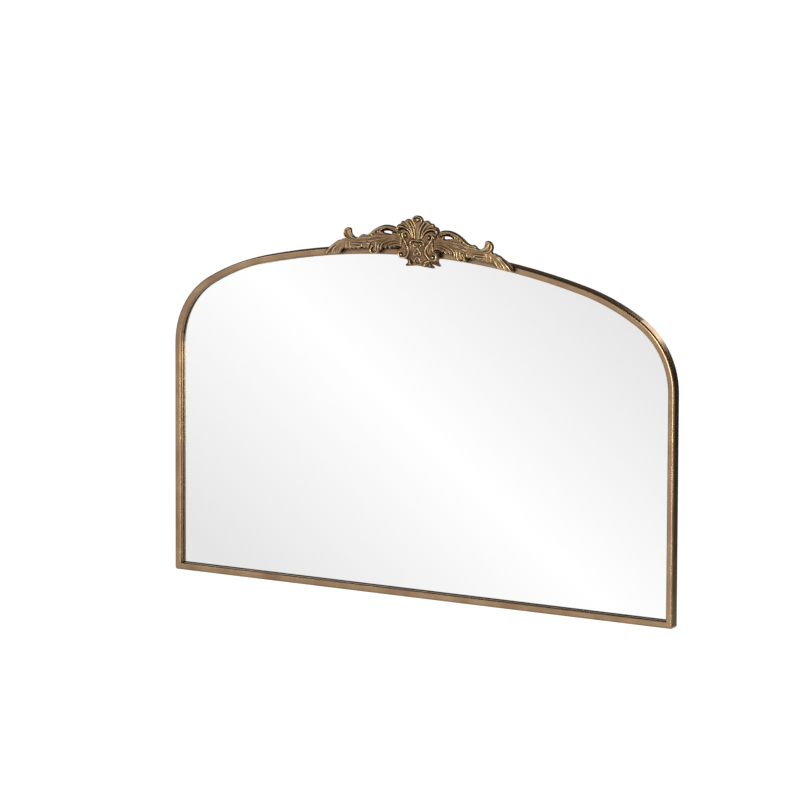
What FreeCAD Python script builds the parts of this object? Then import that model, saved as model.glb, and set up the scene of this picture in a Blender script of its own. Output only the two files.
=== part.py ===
import FreeCAD, Part
import math
import os
import Sketcher
from FreeCAD import Placement, Rotation, Vector

# An arched wall mirror: a slim welded tube frame with a flat bottom rail and a five-centred
# arch, a glass set back inside it, and a cast crest of acanthus scrolls over the crown.
#
# X runs to the right as seen from the front, Y from the front towards the wall, Z up.
# The origin is the middle of the bottom rail's underside. Millimetres.

doc = FreeCAD.newDocument("ArchedWallMirror")
sheet = doc.addObject("Spreadsheet::Sheet", "Sizes")

# Arch and tube of the frame
frameSizes = {
    "frameWidth": 914.0,  # outside the two stiles
    "springHeight": 374.0,  # where the straight stiles end
    "cornerRadius": 131.3,  # outer radius of the tight bends
    "cornerTurn": 58.4,  # degrees
    "shoulderRadius": 365.4,  # outer radius of the slower bends
    "shoulderTurn": 17.4,  # degrees
    "tubeFace": 12.0,  # width of the tube seen from the front
    "tubeDepth": 18.0,
    "tubeWall": 1.2,
    "frontRound": 3.4,  # outer rounding of the tube's front edges
    "backRound": 2.0,
    "footRound": 4.2,  # the two bottom corners, seen from the front
    "seamRound": 1.0,  # inside the tube at those corners
    "overrun": 5.0,  # how far a cutting shape stands past what it cuts
    "snap": 0.1,  # how near an edge lies to a plane to be on it
}

# Glass and what holds it
glazingSizes = {
    "glassSetback": 9.0,  # from the tube's front to the glass
    "glassThickness": 3.0,
    "glassGap": 1.0,  # all round, to the tube
    "tapeThickness": 1.0,
    "tapeWidth": 24.0,
    "tapeInset": 14.0,  # from the glass edge
    "boardThickness": 5.0,
    "tabThickness": 1.0,
    "tabWidth": 14.0,
    "tabOnTube": 8.0,  # length welded to the tube
    "tabOnBoard": 18.0,  # length past the tube's inner edge
    "tabHoleReach": 11.0,  # from the tube's inner edge to the screw
    "tabHoleDiameter": 3.4,
    "tabCorner": 3.0,
    "boardScrewShank": 2.9,
    "boardScrewLength": 5.2,
    "boardScrewHead": 6.0,
    "boardScrewHeadHeight": 1.9,
    "pilotClearance": 0.1,  # on the diameter of a hole that a thread bites into
    "pilotDepth": 4.6,
}

# D-ring hangers on the back of the stiles, narrow enough to stay behind the tube
hangerSizes = {
    "hangerHeight": 356.0,  # of the ring's hinge axis
    "strapThickness": 1.0,
    "strapWidth": 6.0,
    "strapLength": 33.0,
    "strapHoleDiameter": 3.4,
    "strapFirstHole": 19.5,  # below the hinge axis
    "strapHolePitch": 9.0,
    "ringWire": 2.4,
    "ringWidth": 9.0,  # between the middles of the wire
    "ringDrop": 14.0,  # hinge axis to the middle of the wire at the far end
    "ringCorner": 1.5,
    "ringTilt": 2.0,  # degrees off the strap
    "ringClearance": 0.08,  # radial, in the rolled barrel
    "hangerScrewShank": 3.0,
    "hangerScrewLength": 9.5,
    "hangerScrewHead": 5.0,
    "hangerScrewHeadHeight": 1.9,
}

# Rubber wall bumpers at the lower corners
bumperSizes = {
    "bumperDiameter": 8.0,
    "bumperHeight": 5.0,
    "bumperRound": 1.0,
    "bumperFromBottom": 22.0,
}

# Cast crest and its screws
crestSizes = {
    "crestHeight": 80.0,  # foot to top, and the measure that its outlines follow
    "crestHang": 24.3,  # how far the foot hangs below the arch's top
    "castingStandoff": 5.0,  # casting's back to the tube's front
    "cartoucheThickness": 7.0,
    "wingThickness": 6.5,
    "rimRise": 3.5,
    "ribRise": 2.5,
    "lobeRise": 2.0,
    "beadRise": 4.5,
    "beadDiameter": 4.0,
    "voluteDiameter": 12.0,
    "sink": 0.5,  # how deep a raised form starts inside the casting
    "bossDiameter": 9.0,
    "bossDepth": 2.0,  # how far a boss runs into the casting
    "crestScrewShank": 4.0,
    "crestScrewLength": 22.0,
    "crestScrewHead": 7.6,
    "crestScrewHeadHeight": 2.6,
    "crestScrewClearance": 0.5,  # on the diameter, through the tube
    "threadDepth": 4.6,
    "cartoucheScrewPlace": 20.0,  # from the middle
    "wingInnerScrewPlace": 82.0,
    "wingOuterScrewPlace": 158.0,
}

# Driver recess of every screw
screwSizes = {
    "slotWidth": 0.9,
    "slotLength": 3.4,
    "slotDepth": 1.1,
    "headRound": 0.8,
    "tipLength": 1.2,
}

allSizes = {}
for group in (frameSizes, glazingSizes, hangerSizes, bumperSizes, crestSizes, screwSizes):
    allSizes.update(group)
for row, (name, value) in enumerate(allSizes.items(), start=1):
    sheet.set(f"A{row}", name)
    sheet.set(f"B{row}", str(value))
    sheet.setAlias(f"B{row}", name)
doc.recompute()


def size(name):
    return float(sheet.get(name))


fullTurn = 360.0
halfDepth = "Sizes.tubeDepth / 2"
glassFront = "(Sizes.glassSetback - Sizes.tubeDepth / 2)"
glassBack = f"({glassFront} + Sizes.glassThickness)"
tapeBack = f"({glassBack} + Sizes.tapeThickness)"
boardBack = f"({tapeBack} + Sizes.boardThickness)"
glassInset = "(Sizes.tubeFace + Sizes.glassGap)"


# Sketch and feature helpers

def newBody(label):
    body = doc.addObject("PartDesign::Body", label)
    body.Label = label
    return body


def newSketch(body, role, name, outward="0"):
    # outward is the distance from the origin plane along its normal
    sketch = body.newObject("Sketcher::SketchObject", name)
    planes = [plane for plane in body.Origin.OriginFeatures if plane.Role == role]
    sketch.AttachmentSupport = [(planes[0], "")]
    sketch.MapMode = "FlatFace"
    sketch.setExpression("AttachmentOffset.Base.z", outward)
    return sketch


def bindTo(sketch, expression, *constraint):
    # a driving constraint whose value follows the sheet
    index = sketch.addConstraint(Sketcher.Constraint(*constraint))
    sketch.setExpression(f"Constraints[{index}]", expression)


def pad(body, sketch, length, reverse=False, middle=False):
    feature = body.newObject("PartDesign::Pad", sketch.Name + "Pad")
    feature.Profile = sketch
    feature.setExpression("Length", length)
    feature.Reversed = reverse
    feature.Midplane = middle
    sketch.Visibility = False
    return feature


def pocket(body, sketch, length=None, reverse=False, middle=False):
    feature = body.newObject("PartDesign::Pocket", sketch.Name + "Pocket")
    feature.Profile = sketch
    if length is None:
        feature.Type = "ThroughAll"
    else:
        feature.setExpression("Length", length)
    feature.Reversed = reverse
    feature.Midplane = middle
    return feature


def drawCircle(sketch, x, y, diameter, xExpression=None, yExpression=None):
    # x and y place the centre; their expressions keep it there when a size changes
    start = size("tubeFace")
    circle = Part.Circle(Vector(x, y, 0), Vector(0, 0, 1), start / 2)
    index = sketch.addGeometry(circle, False)
    bindTo(sketch, diameter, "Diameter", index, start)
    if xExpression:
        bindTo(sketch, xExpression, "DistanceX", -1, 1, index, 3, x)
    if yExpression:
        bindTo(sketch, yExpression, "DistanceY", -1, 1, index, 3, y)
    return index


def drawPolygon(sketch, points):
    last = len(points) - 1
    first = sketch.GeometryCount
    for index, point in enumerate(points):
        following = points[0] if index == last else points[index + 1]
        sketch.addGeometry(Part.LineSegment(Vector(*point, 0), Vector(*following, 0)), False)
    for index in range(len(points)):
        following = first if index == last else first + index + 1
        sketch.addConstraint(Sketcher.Constraint("Coincident", first + index, 2, following, 1))


def drawRoundedBox(sketch, low, high, radii, bounds):
    # low and high are corners; radii go round from the low corner, anticlockwise, as
    # (value, expression); bounds are the expressions of low x, low y, high x and high y
    corners = [(low[0], low[1]), (high[0], low[1]), (high[0], high[1]), (low[0], high[1])]
    turns = [(1, 1), (-1, 1), (-1, -1), (1, -1)]
    centres = []
    for (x, y), (sideX, sideY), (radius, _) in zip(corners, turns, radii):
        centres.append(Vector(x + sideX * radius, y + sideY * radius, 0))
    quarter = math.pi / 2
    arcs = []
    lines = []
    for index, (radius, _) in enumerate(radii):
        circle = Part.Circle(centres[index], Vector(0, 0, 1), radius)
        begin = math.pi + index * quarter
        arcs.append(sketch.addGeometry(Part.ArcOfCircle(circle, begin, begin + quarter), False))
    for index in range(4):
        following = (index + 1) % 4
        start = sketch.Geometry[arcs[index]].EndPoint
        end = sketch.Geometry[arcs[following]].StartPoint
        lines.append(sketch.addGeometry(Part.LineSegment(start, end), False))
    for index in range(4):
        following = (index + 1) % 4
        sketch.addConstraint(Sketcher.Constraint("Tangent", arcs[index], 2, lines[index], 1))
        sketch.addConstraint(Sketcher.Constraint("Tangent", lines[index], 2, arcs[following], 1))
    for index, direction in enumerate(("Horizontal", "Vertical", "Horizontal", "Vertical")):
        sketch.addConstraint(Sketcher.Constraint(direction, lines[index]))
    for index, (radius, expression) in enumerate(radii):
        bindTo(sketch, expression, "Radius", arcs[index], radius)
    bindTo(sketch, bounds[1], "DistanceY", -1, 1, lines[0], 1, low[1])
    bindTo(sketch, bounds[2], "DistanceX", -1, 1, lines[1], 1, high[0])
    bindTo(sketch, bounds[3], "DistanceY", -1, 1, lines[2], 1, high[1])
    bindTo(sketch, bounds[0], "DistanceX", -1, 1, lines[3], 1, low[0])


# The arch

def archCentres():
    # centres of the right corner, the right shoulder and the crown, and the crown's outer radius
    cornerTurn = math.radians(size("cornerTurn"))
    bothTurns = cornerTurn + math.radians(size("shoulderTurn"))
    corner = Vector(size("frameWidth") / 2 - size("cornerRadius"), size("springHeight"), 0)
    stepIn = size("cornerRadius") - size("shoulderRadius")
    shoulder = corner + Vector(math.cos(cornerTurn), math.sin(cornerTurn), 0) * stepIn
    crownRadius = size("shoulderRadius") + shoulder.x / math.cos(bothTurns)
    stepIn = size("shoulderRadius") - crownRadius
    crown = shoulder + Vector(math.cos(bothTurns), math.sin(bothTurns), 0) * stepIn
    return corner, shoulder, crown, crownRadius


def crownPoint(x, inset):
    # the point at x of the crown's arc, inset from the outer edge
    _, _, crown, radius = archCentres()
    radius -= inset
    return Vector(x, crown.y + math.sqrt(radius**2 - x**2), 0)


def drawArch(sketch, inset, insetExpression, foot=0.0, footExpression=None):
    # legs and five tangent arcs, anticlockwise from the right leg's foot, and a straight
    # bottom edge, inset from the frame's outer edge, with sharp or rounded bottom corners
    corner, shoulder, crown, crownRadius = archCentres()
    half = size("frameWidth") / 2 - inset
    cornerTurn = math.radians(size("cornerTurn"))
    bothTurns = cornerTurn + math.radians(size("shoulderTurn"))
    arcsRight = [
        (corner, size("cornerRadius") - inset, 0.0, cornerTurn),
        (shoulder, size("shoulderRadius") - inset, cornerTurn, bothTurns),
    ]
    arcs = list(arcsRight)
    arcs.append((crown, crownRadius - inset, bothTurns, math.pi - bothTurns))
    for centre, radius, begin, end in reversed(arcsRight):
        mirrored = Vector(-centre.x, centre.y, 0)
        arcs.append((mirrored, radius, math.pi - end, math.pi - begin))
    rightFoot, rightSpring = Vector(half, inset + foot, 0), Vector(half, corner.y, 0)
    leftFoot, leftSpring = Vector(-half, inset + foot, 0), Vector(-half, corner.y, 0)
    chain = [sketch.addGeometry(Part.LineSegment(rightFoot, rightSpring), False)]
    for centre, radius, begin, end in arcs:
        circle = Part.Circle(centre, Vector(0, 0, 1), radius)
        chain.append(sketch.addGeometry(Part.ArcOfCircle(circle, begin, end), False))
    chain.append(sketch.addGeometry(Part.LineSegment(leftSpring, leftFoot), False))
    for earlier, later in zip(chain, chain[1:]):
        sketch.addConstraint(Sketcher.Constraint("Tangent", earlier, 2, later, 1))
    rightLeg, rightCorner, rightShoulder, _, leftShoulder, leftCorner, leftLeg = chain
    for leg in (rightLeg, leftLeg):
        sketch.addConstraint(Sketcher.Constraint("Vertical", leg))
    centreX = "Sizes.frameWidth / 2 - Sizes.cornerRadius"
    bindTo(sketch, centreX, "DistanceX", -1, 1, rightCorner, 3, corner.x)
    bindTo(sketch, centreX, "DistanceX", leftCorner, 3, -1, 1, corner.x)
    for arc in (rightCorner, leftCorner):
        bindTo(sketch, "Sizes.springHeight", "DistanceY", -1, 1, arc, 3, corner.y)
        bindTo(sketch, f"Sizes.cornerRadius - {insetExpression}", "Radius", arc, arcs[0][1])
        bindTo(sketch, "Sizes.cornerTurn", "Angle", arc, cornerTurn)
    for arc in (rightShoulder, leftShoulder):
        bindTo(sketch, f"Sizes.shoulderRadius - {insetExpression}", "Radius", arc, arcs[1][1])
    bindTo(sketch, "Sizes.shoulderTurn", "Angle", rightShoulder, bothTurns - cornerTurn)
    start, end = Vector(foot - half, inset, 0), Vector(half - foot, inset, 0)
    bottom = sketch.addGeometry(Part.LineSegment(start, end), False)
    bindTo(sketch, insetExpression, "DistanceY", -1, 1, bottom, 1, inset)
    sketch.addConstraint(Sketcher.Constraint("Horizontal", bottom))
    if not foot:
        sketch.addConstraint(Sketcher.Constraint("Coincident", leftLeg, 2, bottom, 1))
        sketch.addConstraint(Sketcher.Constraint("Coincident", bottom, 2, rightLeg, 1))
        return
    quarter = math.pi / 2
    for centreX, begin, before, after in (
        (foot - half, math.pi, leftLeg, bottom),
        (half - foot, math.pi + quarter, bottom, rightLeg),
    ):
        circle = Part.Circle(Vector(centreX, inset + foot, 0), Vector(0, 0, 1), foot)
        bend = sketch.addGeometry(Part.ArcOfCircle(circle, begin, begin + quarter), False)
        sketch.addConstraint(Sketcher.Constraint("Tangent", before, 2, bend, 1))
        sketch.addConstraint(Sketcher.Constraint("Tangent", bend, 2, after, 1))
        bindTo(sketch, footExpression, "Radius", bend, foot)


# Frame

def crestScrewPlaces():
    # on the tube's centre line, left to right
    names = ("cartoucheScrewPlace", "wingInnerScrewPlace", "wingOuterScrewPlace")
    right = [crownPoint(size(name), size("tubeFace") / 2) for name in names]
    left = [Vector(-place.x, place.y, 0) for place in reversed(right)]
    return left + right


# Hangers and bumpers stand this share of the tube's face in from its outer side
hangerShare = 2 / 3


def hangerMiddle():
    return size("frameWidth") / 2 - hangerShare * size("tubeFace")


def hangerScrewDrops():
    return [size("strapFirstHole"), size("strapFirstHole") + size("strapHolePitch")]


def longEdges(shape, plane):
    # the edges along one face of the frame, but not those of a slanting cut across it
    names = []
    for index, edge in enumerate(shape.Edges, start=1):
        ends = [vertex.Point for vertex in edge.Vertexes]
        onPlane = all(abs(end.y - plane) < size("snap") for end in ends)
        straight = edge.Curve.TypeId == "Part::GeomLine"
        upright = abs(ends[0].x - ends[-1].x) < size("snap")
        level = abs(ends[0].z - ends[-1].z) < size("snap")
        if onPlane and (upright or level or not straight):
            names.append(f"Edge{index}")
    return names


def roundFrame(body, solid, inset, insetExpression):
    # the long edges of the frame's front and back
    depth = size("tubeDepth") / 2 - inset
    for plane, rounding in ((-1, "frontRound"), (1, "backRound")):
        doc.recompute()
        rounded = body.newObject("PartDesign::Fillet", body.Label + rounding)
        rounded.Base = (solid, longEdges(solid.Shape, plane * depth))
        rounded.setExpression("Radius", f"Sizes.{rounding} - {insetExpression}")
        solid = rounded


def makeFrameOutside(label, cutAway):
    # the closed frame as a solid bar, less the part beyond its mitres
    body = newBody(label)
    band = newSketch(body, "XZ_Plane", label + "Band", "-Sizes.tubeDepth / 2")
    drawArch(band, 0.0, "0", size("footRound"), "Sizes.footRound")
    drawArch(band, size("tubeFace"), "Sizes.tubeFace")
    pad(body, band, "Sizes.tubeDepth")
    mitre = newSketch(body, "XZ_Plane", label + "Mitres")
    drawPolygon(mitre, cutAway)
    roundFrame(body, pocket(body, mitre, middle=True), 0.0, "0")
    return body


def makeFrameInside():
    # the hollow of the whole frame, which runs through both mitres
    body = newBody("frameInside")
    wall = size("tubeWall")
    band = newSketch(body, "XZ_Plane", "insideBand", "-Sizes.tubeDepth / 2 + Sizes.tubeWall")
    drawArch(band, wall, "Sizes.tubeWall", size("footRound") - wall, "Sizes.footRound - Sizes.tubeWall")
    drawArch(band, size("tubeFace") - wall, "(Sizes.tubeFace - Sizes.tubeWall)",
             size("seamRound"), "Sizes.seamRound")
    solid = pad(body, band, "Sizes.tubeDepth - 2 * Sizes.tubeWall")
    roundFrame(body, solid, wall, "Sizes.tubeWall")
    return body


def hollowTube(label, outside, inside):
    tube = doc.addObject("Part::Cut", label)
    tube.Label = label
    tube.Base = outside
    tube.Tool = inside
    return tube


def mitreCorners():
    # the slanting ends of the bottom rail, run out past the tube on both sides
    half = size("frameWidth") / 2
    face = size("tubeFace")
    over = size("overrun")
    low, high = half + over, half - face - over
    return [(-low, -over), (low, -over), (high, face + over), (-high, face + over)]


def makeArchTube(inside):
    # one bent length: two stiles and the arch, mitred at its feet, with its screw holes
    body = makeFrameOutside("archOutside", mitreCorners())
    crestHoles = newSketch(body, "XZ_Plane", "crestHoles")
    for place in crestScrewPlaces():
        drawCircle(crestHoles, place.x, place.y, "Sizes.crestScrewShank + Sizes.crestScrewClearance")
    pocket(body, crestHoles, middle=True)
    hangerHoles = newSketch(body, "XZ_Plane", "hangerHoles", "-Sizes.tubeDepth / 2")
    for side in (1, -1):
        for drop in hangerScrewDrops():
            drawCircle(hangerHoles, side * hangerMiddle(), size("hangerHeight") - drop,
                       "Sizes.hangerScrewShank + Sizes.pilotClearance")
    pocket(body, hangerHoles, "Sizes.tubeDepth / 2", reverse=True)
    return hollowTube("arch_tube", body, inside)


def makeBottomTube(inside):
    # the rail: what the arch's mitres leave of the frame
    lowLeft, lowRight, highRight, highLeft = mitreCorners()
    top = crownPoint(0, 0).y + size("overrun")
    above = [lowLeft, highLeft, highRight, lowRight, (lowRight[0], top), (lowLeft[0], top)]
    return hollowTube("bottom_tube", makeFrameOutside("railOutside", above), inside)


# Glazing

def makeSheetNode(label, back, thickness, insets, holes=None):
    # a flat sheet of the arch's outline, or a band between two insets, standing on the
    # plane at back and reaching forwards
    body = newBody(label)
    sketch = newSketch(body, "XZ_Plane", label + "Outline", f"-({back})")
    for inset, expression in insets:
        drawArch(sketch, inset, expression)
    pad(body, sketch, thickness)
    if holes:
        holes(body)
    return body


def makeGlass():
    inset = size("tubeFace") + size("glassGap")
    return makeSheetNode("mirror_glass", glassBack, "Sizes.glassThickness", [(inset, glassInset)])


def makeTape():
    outer = size("tubeFace") + size("glassGap") + size("tapeInset")
    outerExpression = f"({glassInset} + Sizes.tapeInset)"
    inner = outer + size("tapeWidth")
    innerExpression = f"({glassInset} + Sizes.tapeInset + Sizes.tapeWidth)"
    insets = [(outer, outerExpression), (inner, innerExpression)]
    return makeSheetNode("adhesive_tape", tapeBack, "Sizes.tapeThickness", insets)


# Places of the tabs along the frame, as shares of the half width, or on the stiles as shares
# of the height below the hanger straps
railTabShares = (-0.62, 0.0, 0.62)
stileTabShares = (0.28, 0.83)
crownTabShares = (-0.5, 0.0, 0.5)


def tabPlaces():
    # a point on the tube's inner edge and the direction into the frame, for each tab
    half = size("frameWidth") / 2
    face = size("tubeFace")
    places = [(Vector(share * half, face, 0), Vector(0, 1, 0)) for share in railTabShares]
    strapEnd = size("hangerHeight") - size("strapLength")
    for side in (1, -1):
        for share in stileTabShares:
            edge = Vector(side * (half - face), share * strapEnd, 0)
            places.append((edge, Vector(-side, 0, 0)))
    _, _, crown, _ = archCentres()
    for share in crownTabShares:
        edge = crownPoint(share * half, face)
        inward = crown - edge
        places.append((edge, inward.normalize()))
    return places


def boardHoles(body):
    pilots = newSketch(body, "XZ_Plane", "boardPilots", f"-{boardBack}")
    for edge, inward in tabPlaces():
        hole = edge + inward * size("tabHoleReach")
        drawCircle(pilots, hole.x, hole.y, "Sizes.boardScrewShank + Sizes.pilotClearance")
    pocket(body, pilots, "Sizes.pilotDepth", reverse=True)


def makeBoard():
    inset = size("tubeFace") + size("glassGap")
    insets = [(inset, glassInset)]
    return makeSheetNode("backing_board", boardBack, "Sizes.boardThickness", insets, boardHoles)


# Repeated pieces

def repeatNode(label, pattern, placements):
    # one node of separate solids: the pattern piece, copied to each placement
    links = []
    for index, placement in enumerate(placements):
        link = doc.addObject("App::Link", f"{label}Copy{index}")
        link.LinkedObject = pattern
        link.LinkTransform = False
        link.Placement = placement
        links.append(link)
    group = doc.addObject("Part::Compound", label)
    group.Label = label
    group.Links = links
    return group


def facing(x, y, z, inward=None):
    # a placement at a point, with local X turned to a direction in the frame's plane
    turn = 0.0
    if inward is not None:
        turn = math.degrees(math.atan2(-inward.y, inward.x))
    return Placement(Vector(x, y, z), Rotation(Vector(0, 1, 0), turn))


def makeTabPattern():
    body = newBody("tabPattern")
    outline = newSketch(body, "XZ_Plane", "tabOutline")
    half = size("tabWidth") / 2
    corner = (size("tabCorner"), "Sizes.tabCorner")
    low = (-size("tabOnTube"), -half)
    high = (size("tabOnBoard"), half)
    bounds = ["-Sizes.tabOnTube", "-Sizes.tabWidth / 2", "Sizes.tabOnBoard", "Sizes.tabWidth / 2"]
    drawRoundedBox(outline, low, high, [corner] * 4, bounds)
    drawCircle(outline, size("tabHoleReach"), 0, "Sizes.tabHoleDiameter", "Sizes.tabHoleReach")
    pad(body, outline, "Sizes.tabThickness", reverse=True)
    return body


def makeScrewPattern(label, kind):
    # a pan head screw along Y: the head's seat at zero, the shank towards the front
    body = newBody(label)
    head = size(kind + "Head") / 2
    height = size(kind + "HeadHeight")
    shank = size(kind + "Shank") / 2
    length = size(kind + "Length")
    tip = size("tipLength")
    rounding = size("headRound")
    slope = math.cos(math.pi / 4)
    profile = newSketch(body, "XY_Plane", kind + "Profile")
    corners = [
        (0, -length), (shank, tip - length), (shank, 0), (head, 0),
        (head, height - rounding), (head - rounding, height), (0, height),
    ]
    points = [Vector(x, y, 0) for x, y in corners]
    middle = Vector(head - rounding + rounding * slope, height - rounding + rounding * slope, 0)
    edges = [Part.LineSegment(a, b) for a, b in zip(points[:4], points[1:5])]
    edges.append(Part.Arc(points[4], middle, points[5]))
    edges.append(Part.LineSegment(points[5], points[6]))
    edges.append(Part.LineSegment(points[6], points[0]))
    for edge in edges:
        profile.addGeometry(edge, False)
    for index in range(len(edges)):
        following = (index + 1) % len(edges)
        profile.addConstraint(Sketcher.Constraint("Coincident", index, 2, following, 1))
    turned = body.newObject("PartDesign::Revolution", kind + "Turned")
    turned.Profile = profile
    turned.ReferenceAxis = (profile, ["V_Axis"])
    turned.Angle = fullTurn
    doc.recompute()
    long = size("slotLength") / 2
    thin = size("slotWidth") / 2
    cross = newSketch(body, "XZ_Plane", kind + "Cross", f"-Sizes.{kind}HeadHeight")
    drawPolygon(cross, [
        (-long, -thin), (-thin, -thin), (-thin, -long), (thin, -long), (thin, -thin), (long, -thin),
        (long, thin), (thin, thin), (thin, long), (-thin, long), (-thin, thin), (-long, thin),
    ])
    pocket(body, cross, "Sizes.slotDepth", reverse=True)
    return body


def tabSeat():
    # the plane of the board's back, which lies flush with the tube's
    stack = ("glassSetback", "glassThickness", "tapeThickness", "boardThickness")
    return sum(size(name) for name in stack) - size("tubeDepth") / 2


def makeTabs():
    places = [facing(edge.x, tabSeat(), edge.y, inward) for edge, inward in tabPlaces()]
    return repeatNode("board_tabs", makeTabPattern(), places)


def makeBoardScrews():
    seat = tabSeat() + size("tabThickness")
    places = []
    for edge, inward in tabPlaces():
        hole = edge + inward * size("tabHoleReach")
        places.append(facing(hole.x, seat, hole.y, inward))
    return repeatNode("board_screws", makeScrewPattern("boardScrewPattern", "boardScrew"), places)


# Hangers

def barrelRadius():
    return size("ringWire") / 2 + size("ringClearance") + size("strapThickness")


barrelExpression = "(Sizes.ringWire / 2 + Sizes.ringClearance + Sizes.strapThickness)"
hangerLine = f"(Sizes.frameWidth / 2 - {hangerShare} * Sizes.tubeFace)"
sideNames = ((-1, "left"), (1, "right"))


def makeStrap(side, word):
    # a steel strap with its upper end rolled into a barrel for the ring
    body = newBody(f"hanger_strap_{word}")
    half = size("strapWidth") / 2
    length = size("strapLength")
    plate = newSketch(body, "XZ_Plane", f"{word}Plate")
    plate.addGeometry(Part.LineSegment(Vector(half, 0, 0), Vector(-half, 0, 0)), False)
    plate.addGeometry(Part.LineSegment(Vector(-half, 0, 0), Vector(-half, half - length, 0)), False)
    circle = Part.Circle(Vector(0, half - length, 0), Vector(0, 0, 1), half)
    plate.addGeometry(Part.ArcOfCircle(circle, math.pi, 2 * math.pi), False)
    plate.addGeometry(Part.LineSegment(Vector(half, half - length, 0), Vector(half, 0, 0)), False)
    plate.addConstraint(Sketcher.Constraint("Coincident", 0, 2, 1, 1))
    plate.addConstraint(Sketcher.Constraint("Tangent", 1, 2, 2, 1))
    plate.addConstraint(Sketcher.Constraint("Tangent", 2, 2, 3, 1))
    plate.addConstraint(Sketcher.Constraint("Coincident", 3, 2, 0, 1))
    plate.addConstraint(Sketcher.Constraint("PointOnObject", 0, 1, -1))
    plate.addConstraint(Sketcher.Constraint("Horizontal", 0))
    plate.addConstraint(Sketcher.Constraint("Vertical", 1))
    plate.addConstraint(Sketcher.Constraint("PointOnObject", 2, 3, -2))
    bindTo(plate, "Sizes.strapWidth / 2", "Radius", 2, half)
    bindTo(plate, "Sizes.strapLength - Sizes.strapWidth / 2", "DistanceY", 2, 3, -1, 1, length - half)
    for index, drop in enumerate(hangerScrewDrops()):
        drawCircle(plate, 0, -drop, "Sizes.strapHoleDiameter", "0",
                   f"-Sizes.strapFirstHole - {index} * Sizes.strapHolePitch")
    pad(body, plate, "Sizes.strapThickness", reverse=True)
    barrel = newSketch(body, "YZ_Plane", f"{word}Barrel")
    drawCircle(barrel, barrelRadius(), 0, f"2 * {barrelExpression}", barrelExpression)
    pad(body, barrel, "Sizes.strapWidth", middle=True)
    bore = newSketch(body, "YZ_Plane", f"{word}Bore")
    drawCircle(bore, barrelRadius(), 0, "Sizes.ringWire + 2 * Sizes.ringClearance", barrelExpression)
    pocket(body, bore, middle=True)
    body.setExpression("Placement.Base.x", f"{side} * {hangerLine}")
    body.setExpression("Placement.Base.y", halfDepth)
    body.setExpression("Placement.Base.z", "Sizes.hangerHeight")
    return body


def makeRing(side, word):
    # a D of round wire: its straight bar turns in the strap's barrel, its bow hangs down
    body = newBody(f"hanger_ring_{word}")
    half = size("ringWidth") / 2
    corner = size("ringCorner")
    legEnd = half - size("ringDrop")
    path = newSketch(body, "XZ_Plane", f"{word}RingPath")
    straight = half - corner
    quarter = math.pi / 2
    axis = Vector(0, 0, 1)
    edges = [
        Part.LineSegment(Vector(0, 0, 0), Vector(-straight, 0, 0)),
        Part.ArcOfCircle(Part.Circle(Vector(-straight, -corner, 0), axis, corner), quarter, math.pi),
        Part.LineSegment(Vector(-half, -corner, 0), Vector(-half, legEnd, 0)),
        Part.ArcOfCircle(Part.Circle(Vector(0, legEnd, 0), axis, half), math.pi, 2 * math.pi),
        Part.LineSegment(Vector(half, legEnd, 0), Vector(half, -corner, 0)),
        Part.ArcOfCircle(Part.Circle(Vector(straight, -corner, 0), axis, corner), 0, quarter),
        Part.LineSegment(Vector(straight, 0, 0), Vector(0, 0, 0)),
    ]
    for edge in edges:
        path.addGeometry(edge, False)
    for index in range(len(edges) - 1):
        path.addConstraint(Sketcher.Constraint("Tangent", index, 2, index + 1, 1))
    path.addConstraint(Sketcher.Constraint("Coincident", 6, 2, 0, 1))
    path.addConstraint(Sketcher.Constraint("Coincident", 0, 1, -1, 1))
    path.addConstraint(Sketcher.Constraint("Horizontal", 0))
    path.addConstraint(Sketcher.Constraint("Vertical", 2))
    path.addConstraint(Sketcher.Constraint("PointOnObject", 3, 3, -2))
    bindTo(path, "Sizes.ringCorner", "Radius", 1, corner)
    bindTo(path, "Sizes.ringCorner", "Radius", 5, corner)
    bindTo(path, "Sizes.ringWidth / 2", "Radius", 3, half)
    bindTo(path, "Sizes.ringDrop - Sizes.ringWidth / 2", "DistanceY", 3, 3, -1, 1, -legEnd)
    wire = newSketch(body, "YZ_Plane", f"{word}RingWire")
    drawCircle(wire, 0, 0, "Sizes.ringWire", "0", "0")
    bow = body.newObject("PartDesign::AdditivePipe", f"{word}RingPipe")
    bow.Profile = wire
    bow.Spine = path
    body.Placement = Placement(Vector(0, 0, 0), Rotation(Vector(1, 0, 0), size("ringTilt")))
    body.setExpression("Placement.Base.x", f"{side} * {hangerLine}")
    body.setExpression("Placement.Base.y", f"{halfDepth} + {barrelExpression}")
    body.setExpression("Placement.Base.z", "Sizes.hangerHeight")
    return body


def makeHangerScrews():
    seat = size("tubeDepth") / 2 + size("strapThickness")
    places = []
    for side, _ in sideNames:
        for drop in hangerScrewDrops():
            places.append(facing(side * hangerMiddle(), seat, size("hangerHeight") - drop))
    return repeatNode("hanger_screws", makeScrewPattern("hangerScrewPattern", "hangerScrew"), places)


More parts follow.
